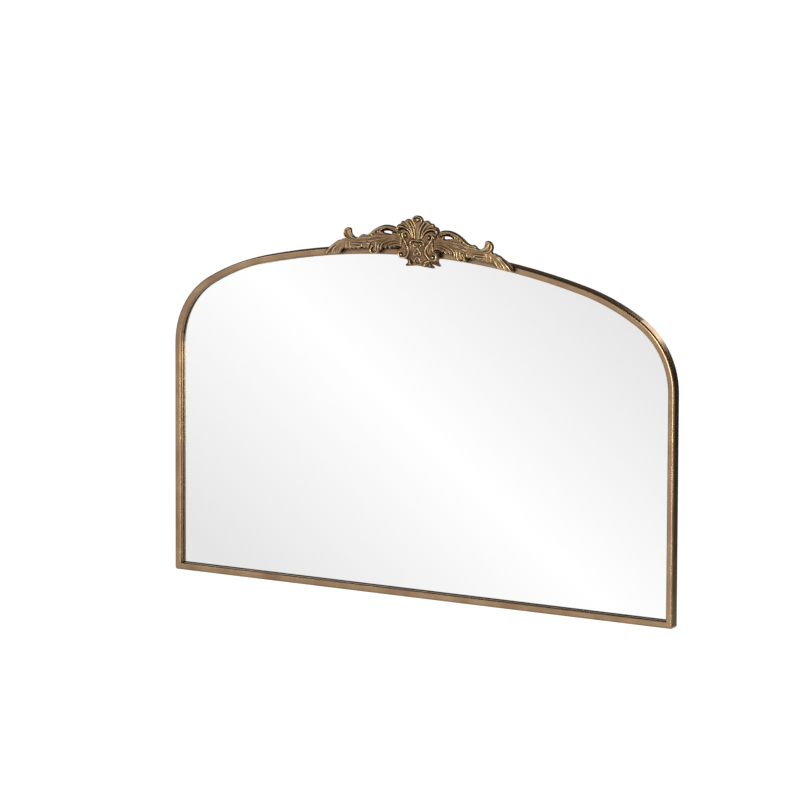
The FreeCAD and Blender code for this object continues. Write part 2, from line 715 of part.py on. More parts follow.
def makeBumper(side, word):
    body = newBody(f"wall_bumper_{word}")
    disc = newSketch(body, "XZ_Plane", f"{word}BumperDisc")
    drawCircle(disc, 0, 0, "Sizes.bumperDiameter", "0", "0")
    puck = pad(body, disc, "Sizes.bumperHeight", reverse=True)
    doc.recompute()
    rim = []
    for index, edge in enumerate(puck.Shape.Edges, start=1):
        if edge.Closed and abs(edge.CenterOfMass.y - size("bumperHeight")) < size("snap"):
            rim.append(f"Edge{index}")
    rounded = body.newObject("PartDesign::Fillet", f"{word}BumperRound")
    rounded.Base = (puck, rim)
    rounded.setExpression("Radius", "Sizes.bumperRound")
    body.setExpression("Placement.Base.x", f"{side} * {hangerLine}")
    body.setExpression("Placement.Base.y", halfDepth)
    body.setExpression("Placement.Base.z", "Sizes.bumperFromBottom")
    return body


# Crest outlines. Every point is in hundredths of the crest's height, across from its middle
# and up from its foot. Each entry is a corner and the point that the arc to the next corner
# passes through, or None for a straight edge.

cartoucheHalfShares = [
    ((0.0, 100.0), (7.9, 97.5)),
    ((9.9, 90.6), (17.5, 92.8)),
    ((27.0, 87.5), (32.1, 88.0)),
    ((35.8, 83.1), (42.9, 81.3)),
    ((46.8, 73.8), (47.4, 68.1)),
    ((44.4, 61.9), None),
    ((35.6, 61.9), None),
    ((35.6, 33.8), (43.8, 28.8)),
    ((45.6, 20.0), (43.0, 13.2)),
    ((36.3, 11.3), (27.5, 10.0)),
    ((21.9, 6.0), (20.8, 3.1)),
    ((23.8, 0.0), None),
]

wingShares = [
    ((36.1, 61.4), None),
    ((48.0, 61.4), None),
    ((48.0, 72.0), (58.8, 75.3)),
    ((70.0, 76.3), (85.0, 73.3)),
    ((97.5, 66.0), (105.0, 59.0)),
    ((113.8, 53.3), (119.0, 51.8)),
    ((124.4, 51.8), (128.1, 53.0)),
    ((131.0, 49.5), (140.0, 45.0)),
    ((149.4, 50.0), (152.8, 56.3)),
    ((152.8, 62.0), (161.9, 63.6)),
    ((169.1, 57.5), (172.0, 50.0)),
    ((167.0, 43.0), (182.5, 37.0)),
    ((196.3, 27.5), (207.5, 18.1)),
    ((213.1, 9.4), (212.9, 4.8)),
    ((208.1, 2.8), (197.0, 3.9)),
    ((185.6, 5.0), (180.6, 10.6)),
    ((174.4, 19.0), (166.9, 20.0)),
    ((160.6, 22.0), (153.8, 20.5)),
    ((147.5, 23.0), (140.6, 21.8)),
    ((134.4, 24.3), (128.1, 23.3)),
    ((122.5, 25.8), (116.3, 25.0)),
    ((111.9, 27.5), (113.8, 20.6)),
    ((108.1, 15.8), (100.0, 15.8)),
    ((92.5, 19.8), (80.0, 26.9)),
    ((65.0, 30.8), (50.0, 33.0)),
    ((36.1, 34.4), None),
]

wingHoleShares = [
    ((55.6, 61.3), (68.8, 59.5)),
    ((83.1, 61.3), (70.0, 68.0)),
    ((55.6, 65.6), None),
]

# Raised forms of the cartouche: scrolled rim, flutes of the shell, hood over the field
rimShares = [
    ((36.0, 60.0), (28.6, 47.0)),
    ((22.4, 37.5), (20.5, 30.8)),
    ((28.3, 17.0), None),
    ((25.5, 15.0), (17.0, 30.5)),
    ((18.9, 38.8), (25.1, 48.0)),
    ((32.8, 60.0), None),
]

fluteShares = [
    [((-3.0, 53.0), None), ((3.0, 53.0), (3.6, 70.0)), ((8.0, 91.0), (0.0, 98.0)),
     ((-8.0, 91.0), (-3.6, 70.0))],
    [((5.0, 54.0), (8.5, 72.0)), ((16.5, 86.0), (19.0, 89.5)), ((23.5, 86.0), (17.0, 68.0))],
    [((9.0, 54.0), (19.0, 72.0)), ((30.5, 78.0), (38.0, 78.5)), ((42.0, 73.0), (25.0, 66.0))],
]

hoodShares = [
    ((-11.5, 52.0), None),
    ((11.5, 52.0), (16.5, 47.5)),
    ((12.5, 42.5), (12.0, 46.5)),
    ((9.0, 48.8), None),
    ((-9.0, 48.8), (-12.0, 46.5)),
    ((-12.5, 42.5), (-16.5, 47.5)),
]

spadeShares = [
    ((0.0, 37.0), (3.0, 30.5)),
    ((9.0, 26.0), (5.0, 21.0)),
    ((0.0, 24.0), (-5.0, 21.0)),
    ((-9.0, 26.0), (-3.0, 30.5)),
]

voluteCentreShares = (37.0, 20.6)
rimBeadShares = (34.4, 62.5)

# Raised forms of a wing: the broad scroll over the hole, the arching leaf, the outer leaf
# and the curled tip
wingRibShares = [
    [((49.0, 70.0), (70.0, 75.5)), ((96.0, 65.8), (106.0, 57.0)), ((123.0, 50.5), (106.0, 52.0)),
     ((92.0, 63.0), (70.0, 69.5)), ((49.0, 66.5), None)],
    [((38.0, 56.0), (62.0, 55.5)), ((93.0, 43.0), (107.0, 33.0)), ((107.0, 17.5), (98.0, 31.0)),
     ((86.0, 38.0), (62.0, 47.5)), ((38.0, 47.0), None)],
    [((38.0, 44.0), (58.0, 44.5)), ((78.0, 36.0), (86.0, 31.0)), ((90.0, 22.5), (80.0, 30.0)),
     ((74.0, 33.0), (56.0, 38.5)), ((38.0, 38.5), None)],
    [((112.0, 47.0), (136.0, 37.5)), ((166.0, 39.0), (190.0, 31.0)), ((209.0, 9.5), (188.0, 22.0)),
     ((160.0, 30.0), (134.0, 30.5)), ((112.0, 38.0), None)],
    [((142.0, 41.5), (154.0, 46.0)), ((156.0, 61.0), (164.0, 59.0)), ((168.0, 50.0), (162.0, 41.0))],
]


shareUnit = 0.01


def crestPoint(share, side=1):
    unit = size("crestHeight") * shareUnit
    foot = crownPoint(0, 0).y - size("crestHang")
    return Vector(side * share[0] * unit, foot + share[1] * unit, 0)


def drawShares(sketch, shares, side=1):
    # a closed outline of straight edges and arcs
    for index, (corner, through) in enumerate(shares):
        start = crestPoint(corner, side)
        end = crestPoint(shares[(index + 1) % len(shares)][0], side)
        if through is None:
            sketch.addGeometry(Part.LineSegment(start, end), False)
        else:
            sketch.addGeometry(Part.Arc(start, crestPoint(through, side), end), False)


def mirroredShares(half):
    # the whole outline from its right half, which runs from the top to the foot's corner
    whole = list(half)
    for index in range(len(half) - 1, 0, -1):
        corner = half[index][0]
        through = half[index - 1][1]
        flipped = None if through is None else (-through[0], through[1])
        whole.append(((-corner[0], corner[1]), flipped))
    return whole


castingBack = "(Sizes.tubeDepth / 2 + Sizes.castingStandoff)"


def raiseForm(body, name, shares, start, rise, side=1):
    # a form that stands out of the casting's front
    sketch = newSketch(body, "XZ_Plane", name, f"{start} - Sizes.sink")
    drawShares(sketch, shares, side)
    return pad(body, sketch, f"{rise} + Sizes.sink")


def addBosses(body, label, places):
    # round feet on the casting's back that sit on the tube, each with a blind screw hole
    feet = newSketch(body, "XZ_Plane", label + "Feet", halfDepth)
    for place in places:
        drawCircle(feet, place.x, place.y, "Sizes.bossDiameter")
    pad(body, feet, "Sizes.castingStandoff + Sizes.bossDepth")
    threads = newSketch(body, "XZ_Plane", label + "Threads", halfDepth)
    for place in places:
        drawCircle(threads, place.x, place.y, "Sizes.crestScrewShank + Sizes.pilotClearance")
    pocket(body, threads, "Sizes.threadDepth", reverse=True)


def makeCartouche():
    body = newBody("crest_cartouche")
    outline = newSketch(body, "XZ_Plane", "cartoucheOutline", castingBack)
    drawShares(outline, mirroredShares(cartoucheHalfShares))
    pad(body, outline, "Sizes.cartoucheThickness")
    face = f"({castingBack} + Sizes.cartoucheThickness)"
    raiseForm(body, "centreFlute", fluteShares[0], face, "Sizes.lobeRise")
    raiseForm(body, "hood", hoodShares, face, "Sizes.rimRise")
    raiseForm(body, "spade", spadeShares, face, "Sizes.lobeRise")
    for side, word in sideNames:
        raiseForm(body, word + "Rim", rimShares, face, "Sizes.rimRise", side)
        raiseForm(body, word + "InnerFlute", fluteShares[1], face, "Sizes.lobeRise", side)
        raiseForm(body, word + "OuterFlute", fluteShares[2], face, "Sizes.lobeRise", side)
        centre = crestPoint(voluteCentreShares, side)
        volute = newSketch(body, "XZ_Plane", word + "Volute", f"{face} - Sizes.sink")
        drawCircle(volute, centre.x, centre.y, "Sizes.voluteDiameter")
        pad(body, volute, "Sizes.lobeRise + Sizes.sink")
        for name, share in (("VoluteBead", voluteCentreShares), ("RimBead", rimBeadShares)):
            place = crestPoint(share, side)
            bead = newSketch(body, "XZ_Plane", word + name, f"{face} - Sizes.sink")
            drawCircle(bead, place.x, place.y, "Sizes.beadDiameter")
            pad(body, bead, "Sizes.beadRise + Sizes.sink")
    addBosses(body, "cartouche", crestScrewPlaces()[2:4])
    return body


def makeWing(side, word):
    body = newBody(f"crest_wing_{word}")
    outline = newSketch(body, "XZ_Plane", word + "WingOutline", castingBack)
    drawShares(outline, wingShares, side)
    drawShares(outline, wingHoleShares, side)
    pad(body, outline, "Sizes.wingThickness")
    face = f"({castingBack} + Sizes.wingThickness)"
    for index, shares in enumerate(wingRibShares):
        raiseForm(body, f"{word}Rib{index}", shares, face, "Sizes.ribRise", side)
    places = crestScrewPlaces()
    addBosses(body, word + "Wing", places[4:] if side > 0 else places[:2])
    return body


def makeCrestScrews():
    back = size("tubeDepth") / 2
    places = [facing(place.x, back, place.y) for place in crestScrewPlaces()]
    return repeatNode("crest_screws", makeScrewPattern("crestScrewPattern", "crestScrew"), places)


# Assembly

frameInside = makeFrameInside()
nodes = [makeArchTube(frameInside), makeBottomTube(frameInside)]
nodes += [makeGlass(), makeTape(), makeBoard(), makeTabs(), makeBoardScrews(), makeHangerScrews()]
for side, word in sideNames:
    nodes += [makeStrap(side, word), makeRing(side, word), makeBumper(side, word)]
nodes += [makeCartouche(), makeCrestScrews()]
nodes += [makeWing(side, word) for side, word in sideNames]
doc.recompute()

# Nothing is written unless every object is sound
for item in doc.Objects:
    if "Invalid" in item.State or "Error" in item.State:
        raise RuntimeError(f"{item.Name} did not build: {item.State}")
for node in nodes:
    if node.Shape.isNull() or not node.Shape.isValid():
        raise RuntimeError(f"{node.Label} has no sound shape")

os.makedirs("parts", exist_ok=True)
for node in nodes:
    node.Shape.exportStep(f"parts/{node.Label}.step")
    print(f"{node.Label}: {len(node.Shape.Solids)} solid(s), {node.Shape.Volume:.1f} mm3")
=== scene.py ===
import bmesh
import bpy
import math
import numpy as np
from mathutils import Matrix, Vector


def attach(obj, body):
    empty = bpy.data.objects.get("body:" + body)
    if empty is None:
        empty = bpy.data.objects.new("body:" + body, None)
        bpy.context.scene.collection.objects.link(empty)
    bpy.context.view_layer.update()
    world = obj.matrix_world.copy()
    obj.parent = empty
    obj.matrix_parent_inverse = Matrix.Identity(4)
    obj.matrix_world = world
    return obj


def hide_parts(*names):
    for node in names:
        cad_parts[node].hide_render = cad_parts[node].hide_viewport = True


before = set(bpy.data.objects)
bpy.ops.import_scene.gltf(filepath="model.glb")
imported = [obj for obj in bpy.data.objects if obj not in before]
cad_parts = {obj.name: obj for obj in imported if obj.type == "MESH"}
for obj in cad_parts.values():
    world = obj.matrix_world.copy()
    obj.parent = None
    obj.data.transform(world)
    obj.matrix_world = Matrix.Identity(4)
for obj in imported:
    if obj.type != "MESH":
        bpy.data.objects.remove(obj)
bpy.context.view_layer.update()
mm = 0.001
scene = bpy.context.scene

# The view of the photograph: from the right and a little above, through a long lens
cameraSetup = {
    "place": (6.604, -11.553, 2.7922),
    "turnedRight": 29.91,  # degrees
    "tiltedDown": 10.52,
    "roll": 0.233,
    "lens": 383.1,  # mm, on a 36 mm sensor
    "farClip": 80.0,
}


def placeCamera():
    yaw = math.radians(cameraSetup["turnedRight"])
    pitch = math.radians(cameraSetup["tiltedDown"])
    roll = math.radians(cameraSetup["roll"])
    ahead = Vector((-math.sin(yaw) * math.cos(pitch), math.cos(yaw) * math.cos(pitch),
                    -math.sin(pitch)))
    level = Vector((math.cos(yaw), math.sin(yaw), 0.0))
    upright = level.cross(ahead)
    right = level * math.cos(roll) + upright * math.sin(roll)
    up = upright * math.cos(roll) - level * math.sin(roll)
    data = bpy.data.cameras.new("photoCamera")
    data.lens = cameraSetup["lens"]
    data.clip_end = cameraSetup["farClip"]
    camera = bpy.data.objects.new("photoCamera", data)
    scene.collection.objects.link(camera)
    turn = Matrix((right, up, -ahead)).transposed().to_4x4()
    camera.matrix_world = Matrix.Translation(cameraSetup["place"]) @ turn
    scene.camera = camera


placeCamera()
scene.view_settings.view_transform = "Standard"
print("camera placed")


# Materials

def hexColour(code):
    # an sRGB hex colour as linear values
    channels = [int(code[i:i + 2], 16) / 255 for i in (1, 3, 5)]
    linear = [c / 12.92 if c <= 0.04045 else ((c + 0.055) / 1.055) ** 2.4 for c in channels]
    return (*linear, 1.0)


def addNode(tree, kind, settings=None, links=None):
    node = tree.nodes.new("ShaderNode" + kind)
    for key, value in (settings or {}).items():
        if isinstance(key, int) or key in node.inputs:
            node.inputs[key].default_value = value
        else:
            setattr(node, key, value)
    for key, source in (links or {}).items():
        tree.links.new(source, node.inputs[key])
    return node


def newMaterial(name):
    material = bpy.data.materials.new(name)
    material.use_nodes = True
    material.node_tree.nodes.clear()
    return material, material.node_tree


def setRamp(ramp, stops):
    # stops are (position, hex colour)
    elements = ramp.color_ramp.elements
    while len(elements) < len(stops):
        elements.new(0.5)
    for element, (position, code) in zip(elements, stops):
        element.position = position
        element.color = hexColour(code)


tubeFinish = {
    "tones": [(0.40, "#93745b"), (0.60, "#a08366"), (0.80, "#ab9070")],
    "cloud": 34 * mm,  # size of the hand-rubbed patches
    "grain": 1.1 * mm,
    "grainWeight": 0.18,
    "relief": {"Strength": 0.25, "Distance": 0.03 * mm},
    # roughness, higher where the patches are browner
    "roughness": {"From Min": 0.35, "From Max": 0.75, "To Min": 0.32, "To Max": 0.23},
    "paintedShade": "#2a1d14",  # painted shade in the corners and under the crest, a dark brown
    "nook": 10 * mm,  # how near another surface shuts a place in
    "shut": {"From Min": 0.97, "From Max": 0.74},  # from open air to full painted shade
    # how much painted shade is laid, on the walls beside the glass and on the front under the crest
    "share": {"From Min": -0.4, "From Max": -0.9, "To Min": 0.4, "To Max": 0.86},
}


def makeTubeBrass():
    # antique brass plate over steel tube, brushed by hand and lacquered: a soft sheen with
    # patches of browner and yellower metal and a grain that is drawn coarser than the real one
    material, tree = newMaterial("antiqueBrassBrushed")
    coord = addNode(tree, "TexCoord")
    cloud = addNode(tree, "TexNoise", {"Scale": 1 / tubeFinish["cloud"], "Detail": 3.0,
                                       "Roughness": 0.55}, {"Vector": coord.outputs["Object"]})
    grain = addNode(tree, "TexNoise", {"Scale": 1 / tubeFinish["grain"], "Detail": 2.0},
                    {"Vector": coord.outputs["Object"]})
    both = addNode(tree, "Math", {"operation": "MULTIPLY_ADD", 1: tubeFinish["grainWeight"]},
                   {0: grain.outputs["Fac"], 2: cloud.outputs["Fac"]})
    tone = addNode(tree, "ValToRGB", links={"Fac": both.outputs[0]})
    setRamp(tone, tubeFinish["tones"])
    # painted shade in the corners and under the crest, more on the front, which faces -Y
    nook = addNode(tree, "AmbientOcclusion", {"samples": 8, "Distance": tubeFinish["nook"]})
    shut = addNode(tree, "MapRange", tubeFinish["shut"], {"Value": nook.outputs["AO"]})
    facing = addNode(tree, "SeparateXYZ", links={"Vector": coord.outputs["Normal"]})
    share = addNode(tree, "MapRange", tubeFinish["share"], {"Value": facing.outputs["Y"]})
    paintedShadeAmount = addNode(tree, "Math", {"operation": "MULTIPLY"},
                    {0: shut.outputs["Result"], 1: share.outputs["Result"]})
    shadedTone = addNode(tree, "Mix", {"data_type": "RGBA", 7: hexColour(tubeFinish["paintedShade"])},
                   {0: paintedShadeAmount.outputs[0], 6: tone.outputs["Color"]})
    rough = addNode(tree, "MapRange", tubeFinish["roughness"], {"Value": cloud.outputs["Fac"]})
    bump = addNode(tree, "Bump", tubeFinish["relief"], {"Height": grain.outputs["Fac"]})
    shader = addNode(tree, "BsdfPrincipled", {"Metallic": 1.0},
                     {"Base Color": shadedTone.outputs[2], "Roughness": rough.outputs["Result"],
                      "Normal": bump.outputs["Normal"]})
    addNode(tree, "OutputMaterial", links={"Surface": shader.outputs[0]})
    return material


crestFinish = {
    # from the hollows to the polished ridges
    "tones": [(0.28, "#21160f"), (0.42, "#4c3628"), (0.56, "#735944"), (0.72, "#93785c"),
              (0.92, "#c9b088")],
    "toneShare": 0.65,  # brings the sum below into the tones' range
    "cloud": 16 * mm,
    "cloudWeight": 0.22,
    "grit": 0.9 * mm,
    "gritWeight": 0.10,
    "nook": 6 * mm,  # how near another surface shuts a place in
    "nookWeight": 0.3,
    "relief": {"Strength": 0.22, "Distance": 0.12 * mm},
    # roughness, lower where the metal is rubbed
    "roughness": {"From Min": 0.5, "From Max": 1.3, "To Min": 0.67, "To Max": 0.36},
}


def makeCrestBrass():
    # cast brass with a brown patina that stays in the hollows and is rubbed off the ridges; the
    # patinaAndShading attribute is 0 in a hollow and 1 on a ridge, and also carries painted shade on
    # the side walls and painted light on the outer leaves; places shut in by other surfaces get painted
    # shade
    material, tree = newMaterial("castBrassPatinated")
    coord = addNode(tree, "TexCoord")
    worn = addNode(tree, "Attribute", {"attribute_name": "patinaAndShading"})
    cloud = addNode(tree, "TexNoise", {"Scale": 1 / crestFinish["cloud"], "Detail": 4.0},
                    {"Vector": coord.outputs["Object"]})
    grit = addNode(tree, "TexNoise", {"Scale": 1 / crestFinish["grit"], "Detail": 2.0},
                   {"Vector": coord.outputs["Object"]})
    clouded = addNode(tree, "Math", {"operation": "MULTIPLY_ADD", 1: crestFinish["cloudWeight"]},
                      {0: cloud.outputs["Fac"], 2: worn.outputs["Fac"]})
    gritty = addNode(tree, "Math", {"operation": "MULTIPLY_ADD", 1: crestFinish["gritWeight"]},
                     {0: grit.outputs["Fac"], 2: clouded.outputs[0]})
    # painted shade: places shut in by other surfaces, under the leaves and beside the tube, get a
    # darker tone
    nook = addNode(tree, "AmbientOcclusion", {"samples": 8, "Distance": crestFinish["nook"]})
    mixed = addNode(tree, "Math", {"operation": "MULTIPLY_ADD", 1: crestFinish["nookWeight"]},
                    {0: nook.outputs["AO"], 2: gritty.outputs[0]})
    scaled = addNode(tree, "Math", {"operation": "MULTIPLY", 1: crestFinish["toneShare"]},
                     {0: mixed.outputs[0]})
    tone = addNode(tree, "ValToRGB", links={"Fac": scaled.outputs[0]})
    setRamp(tone, crestFinish["tones"])
    rough = addNode(tree, "MapRange", crestFinish["roughness"], {"Value": mixed.outputs[0]})
    bump = addNode(tree, "Bump", crestFinish["relief"], {"Height": grit.outputs["Fac"]})
    shader = addNode(tree, "BsdfPrincipled", {"Metallic": 1.0},
                     {"Base Color": tone.outputs["Color"], "Roughness": rough.outputs["Result"],
                      "Normal": bump.outputs["Normal"]})
    addNode(tree, "OutputMaterial", links={"Surface": shader.outputs[0]})
    return material


glassFinish = {
    "silver": {"Base Color": hexColour("#fdfdfd"), "Metallic": 1.0, "Roughness": 0.0},
    "edge": {"Base Color": hexColour("#3f6b55"), "Roughness": 0.12, "IOR": 1.52},
    "paint": {"Base Color": hexColour("#77797a"), "Roughness": 0.55},
    "front": 0.3 * mm,  # depths in the glass, from its front, between which the edge shows
    "back": 2.9 * mm,
    "speck": 0.8 * mm,
    "relief": {"Strength": 0.3, "Distance": 0.02 * mm},
}


def makeMirror():
    # float glass silvered behind: a clean mirror in front, green at the cut edge, grey
    # backing paint behind
    material, tree = newMaterial("silveredFloatGlass")
    coord = addNode(tree, "TexCoord")
    depth = addNode(tree, "SeparateXYZ", links={"Vector": coord.outputs["Object"]})
    atFront = addNode(tree, "Math", {"operation": "LESS_THAN", 1: glassFinish["front"]},
                      {0: depth.outputs["Y"]})
    atBack = addNode(tree, "Math", {"operation": "GREATER_THAN", 1: glassFinish["back"]},
                     {0: depth.outputs["Y"]})
    silver = addNode(tree, "BsdfPrincipled", glassFinish["silver"])
    edge = addNode(tree, "BsdfPrincipled", glassFinish["edge"])
    speck = addNode(tree, "TexNoise", {"Scale": 1 / glassFinish["speck"], "Detail": 2.0},
                    {"Vector": coord.outputs["Object"]})
    bump = addNode(tree, "Bump", glassFinish["relief"], {"Height": speck.outputs["Fac"]})
    paint = addNode(tree, "BsdfPrincipled", glassFinish["paint"],
                    {"Normal": bump.outputs["Normal"]})
    behind = addNode(tree, "MixShader", links={0: atBack.outputs[0], 1: edge.outputs[0],
                                               2: paint.outputs[0]})
    whole = addNode(tree, "MixShader", links={0: atFront.outputs[0], 1: behind.outputs[0],
                                              2: silver.outputs[0]})
    addNode(tree, "OutputMaterial", links={"Surface": whole.outputs[0]})
    return material


boardFinish = {
    "tones": [(0.52, "#8d6c48"), (0.82, "#b6946a")],
    "fibre": 1.4 * mm,
    "cloud": 60 * mm,
    "cloudWeight": 0.35,
    "relief": {"Strength": 0.3, "Distance": 0.05 * mm},
    "roughness": 0.82,
}


def makeBoardMaterial():
    # raw medium density fibreboard: matt, pressed flat, with short fibres of two browns
    material, tree = newMaterial("fibreboardRaw")
    coord = addNode(tree, "TexCoord")
    fibre = addNode(tree, "TexNoise", {"Scale": 1 / boardFinish["fibre"], "Detail": 5.0,
                                       "Roughness": 0.7, "Distortion": 1.2},
                    {"Vector": coord.outputs["Object"]})
    cloud = addNode(tree, "TexNoise", {"Scale": 1 / boardFinish["cloud"], "Detail": 2.0},
                    {"Vector": coord.outputs["Object"]})
    both = addNode(tree, "Math", {"operation": "MULTIPLY_ADD", 1: boardFinish["cloudWeight"]},
                   {0: cloud.outputs["Fac"], 2: fibre.outputs["Fac"]})
    tone = addNode(tree, "ValToRGB", links={"Fac": both.outputs[0]})
    setRamp(tone, boardFinish["tones"])
    bump = addNode(tree, "Bump", boardFinish["relief"], {"Height": fibre.outputs["Fac"]})
    shader = addNode(tree, "BsdfPrincipled", {"Roughness": boardFinish["roughness"]},
                     {"Base Color": tone.outputs["Color"], "Normal": bump.outputs["Normal"]})
    addNode(tree, "OutputMaterial", links={"Surface": shader.outputs[0]})
    return material


# pressed steel with bright zinc plate: grey with faint cloudy patches from the bath
zincFinish = {
    "name": "zincPlatedSteel",
    "texture": "TexNoise",
    "grain": 3.0 * mm,
    "detail": 3.0,
    "output": "Fac",
    "tones": [(0.35, "#9d9d98"), (0.65, "#c9c9c4")],
    "relief": {"Strength": 0.2, "Distance": 0.02 * mm},
    "surface": {"Metallic": 1.0, "Roughness": 0.36},
}

# moulded black rubber, matt with a faint grey bloom
rubberFinish = {
    "name": "mouldedRubber",
    "texture": "TexNoise",
    "grain": 0.6 * mm,
    "detail": 3.0,
    "output": "Fac",
    "tones": [(0.4, "#1d1d1e"), (0.7, "#333334")],
    "relief": {"Strength": 0.3, "Distance": 0.05 * mm},
    "surface": {"Roughness": 0.72},
}

# closed-cell foam tape: white and matt, with fine cells at its edge
foamFinish = {
    "name": "foamTapeWhite",
    "texture": "TexVoronoi",
    "grain": 0.5 * mm,
    "detail": 0.0,
    "output": "Distance",
    "tones": [(0.1, "#d8d8d3"), (0.6, "#eeeeea")],
    "relief": {"Strength": 0.3, "Distance": 0.05 * mm},
    "surface": {"Roughness": 0.85},
}


def makeGrained(finish):
    # one fine pattern gives the surface its tones and a slight relief
    material, tree = newMaterial(finish["name"])
    coord = addNode(tree, "TexCoord")
    pattern = addNode(tree, finish["texture"], {"Scale": 1 / finish["grain"],
                                                "Detail": finish["detail"]},
                      {"Vector": coord.outputs["Object"]})
    height = pattern.outputs[finish["output"]]
    tone = addNode(tree, "ValToRGB", links={"Fac": height})
    setRamp(tone, finish["tones"])
    bump = addNode(tree, "Bump", finish["relief"], {"Height": height})
    shader = addNode(tree, "BsdfPrincipled", finish["surface"],
                     {"Base Color": tone.outputs["Color"], "Normal": bump.outputs["Normal"]})
    addNode(tree, "OutputMaterial", links={"Surface": shader.outputs[0]})
    return material


tubeBrass = makeTubeBrass()
crestBrass = makeCrestBrass()
silveredGlass = makeMirror()
rawBoard = makeBoardMaterial()
zincSteel = makeGrained(zincFinish)
blackRubber = makeGrained(rubberFinish)
whiteFoam = makeGrained(foamFinish)

nodeFinishes = {
    "arch_tube": tubeBrass, "bottom_tube": tubeBrass,
    "mirror_glass": silveredGlass, "adhesive_tape": whiteFoam, "backing_board": rawBoard,
    "board_tabs": zincSteel, "board_screws": zincSteel, "hanger_screws": zincSteel,
    "hanger_strap_left": zincSteel, "hanger_strap_right": zincSteel,
    "hanger_ring_left": zincSteel, "hanger_ring_right": zincSteel,
    "wall_bumper_left": blackRubber, "wall_bumper_right": blackRubber,
    "crest_screws": zincSteel,
}
for name, material in nodeFinishes.items():
    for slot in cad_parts[name].material_slots:
        slot.material = material
print("materials made")


# The crest. Its forms are given in millimetres across from the middle, up from the foot and
# out from the tube's front face. Each casting starts as a plate cut to its outline; then its
# front is carved, by moving every vertex in or out to the height that the forms ask for.

crestPlace = {
    "foot": 541.0,  # height of the crest's foot above the rail's underside
    "tubeFront": 9.0,  # from the middle of the frame to the tube's front
    "back": 5.0,  # out to the uncarved plate's back
    "thinnest": 1.0,  # from the carved back to the carved front
    "footReach": 2.0,  # how far the round feet run into the plate
    "hold": 2.0,  # how far a depth in a table holds round its point
    "voxel": 0.5,
    "smoothing": 0.5,
    "smoothSteps": 2,
    "curveSteps": 7,
    "curveParts": 4,
    "edgeParts": 2,
    "footSides": 32,
}

crestWearAndShading = {
    "fineSteps": 4,
    "wideSteps": 24,
    "fineWeight": 0.8,
    "wideWeight": 0.2,
    "rubbed": (1.1, 2.3),  # mm of relief over which the patina is rubbed off
    "rubWeight": 0.44,
    "sooted": (0.2, 2.6),  # mm of depth over which it gathers
    "sootWeight": 0.36,
    "middle": 0.44,
    "outer": (55.0, 100.0),  # mm across over which the leaves are painted brighter, as painted light that falls more on the outer leaves
    "outerPaintedLight": 0.2,
    "middleOut": 11.0,  # mm out from the tube's front
    "outWeight": 0.02,
    "sides": 0.66,  # painted shade: the side walls keep this share of the tone
}


def crestSpot(x, up, out):
    return Vector((x * mm, -(crestPlace["tubeFront"] + out) * mm, (crestPlace["foot"] + up) * mm))


def between(three, share):
    # values that run from the first through the second to the third
    return np.interp(share, (0.0, 0.5, 1.0), three)


def smoothLine(points):
    # a smooth line through the points
    spots = np.array(points, float)
    if len(spots) < 3:
        return spots
    padded = np.vstack((2 * spots[0] - spots[1], spots, 2 * spots[-1] - spots[-2]))
    line = []
    for before, start, end, after in zip(padded, padded[1:], padded[2:], padded[3:]):
        for step in range(crestPlace["curveSteps"]):
            t = step / crestPlace["curveSteps"]
            line.append(0.5 * (2 * start + (end - before) * t
                               + (2 * before - 5 * start + 4 * end - after) * t ** 2
                               + (3 * start - before - 3 * end + after) * t ** 3))
    return np.array(line + [spots[-1]])


def nearestOnLine(spots, line):
    # how far each spot is from the line, and how far along the line it meets it, 0 to 1
    steps = np.linalg.norm(np.diff(line, axis=0), axis=1)
    reached = np.concatenate(([0.0], np.cumsum(steps)))
    distance = np.full(len(spots), np.inf)
    share = np.zeros(len(spots))
    for index, start in enumerate(line[:-1]):
        run = line[index + 1] - start
        t = np.clip((spots - start) @ run / max(run @ run, 1e-9), 0.0, 1.0)
        off = np.linalg.norm(spots - start - t[:, None] * run, axis=1)
        closer = off < distance
        distance[closer] = off[closer]
        share[closer] = (reached[index] + t[closer] * steps[index]) / reached[-1]
    return distance, share


def formHeights(spots, forms):
    # the highest of the forms at each spot; a form is its points, its heights and half widths
    # at the start, middle and end, and how round (0.5) or soft (2) its section is
    total = np.zeros(len(spots))
    for points, heights, halves, softness in forms:
        line = smoothLine(points)
        reach = max(halves)
        near = (spots > line.min(axis=0) - reach) & (spots < line.max(axis=0) + reach)
        where = np.nonzero(np.all(near, axis=1))[0]
        if len(where) == 0:
            continue
        distance, share = nearestOnLine(spots[where], line)
        section = np.clip(1 - (distance / between(halves, share)) ** 2, 0.0, 1.0) ** softness
        total[where] = np.maximum(total[where], between(heights, share) * section)
    return total


def spread(spots, table):
    # the table's depths, blended over the spots between its points
    known = np.array(table, float)
    apart = ((spots[:, None, :] - known[None, :, :2]) ** 2).sum(axis=2)
    pull = 1 / (apart + crestPlace["hold"] ** 2) ** 1.5
    return (pull * known[:, 2]).sum(axis=1) / pull.sum(axis=1)


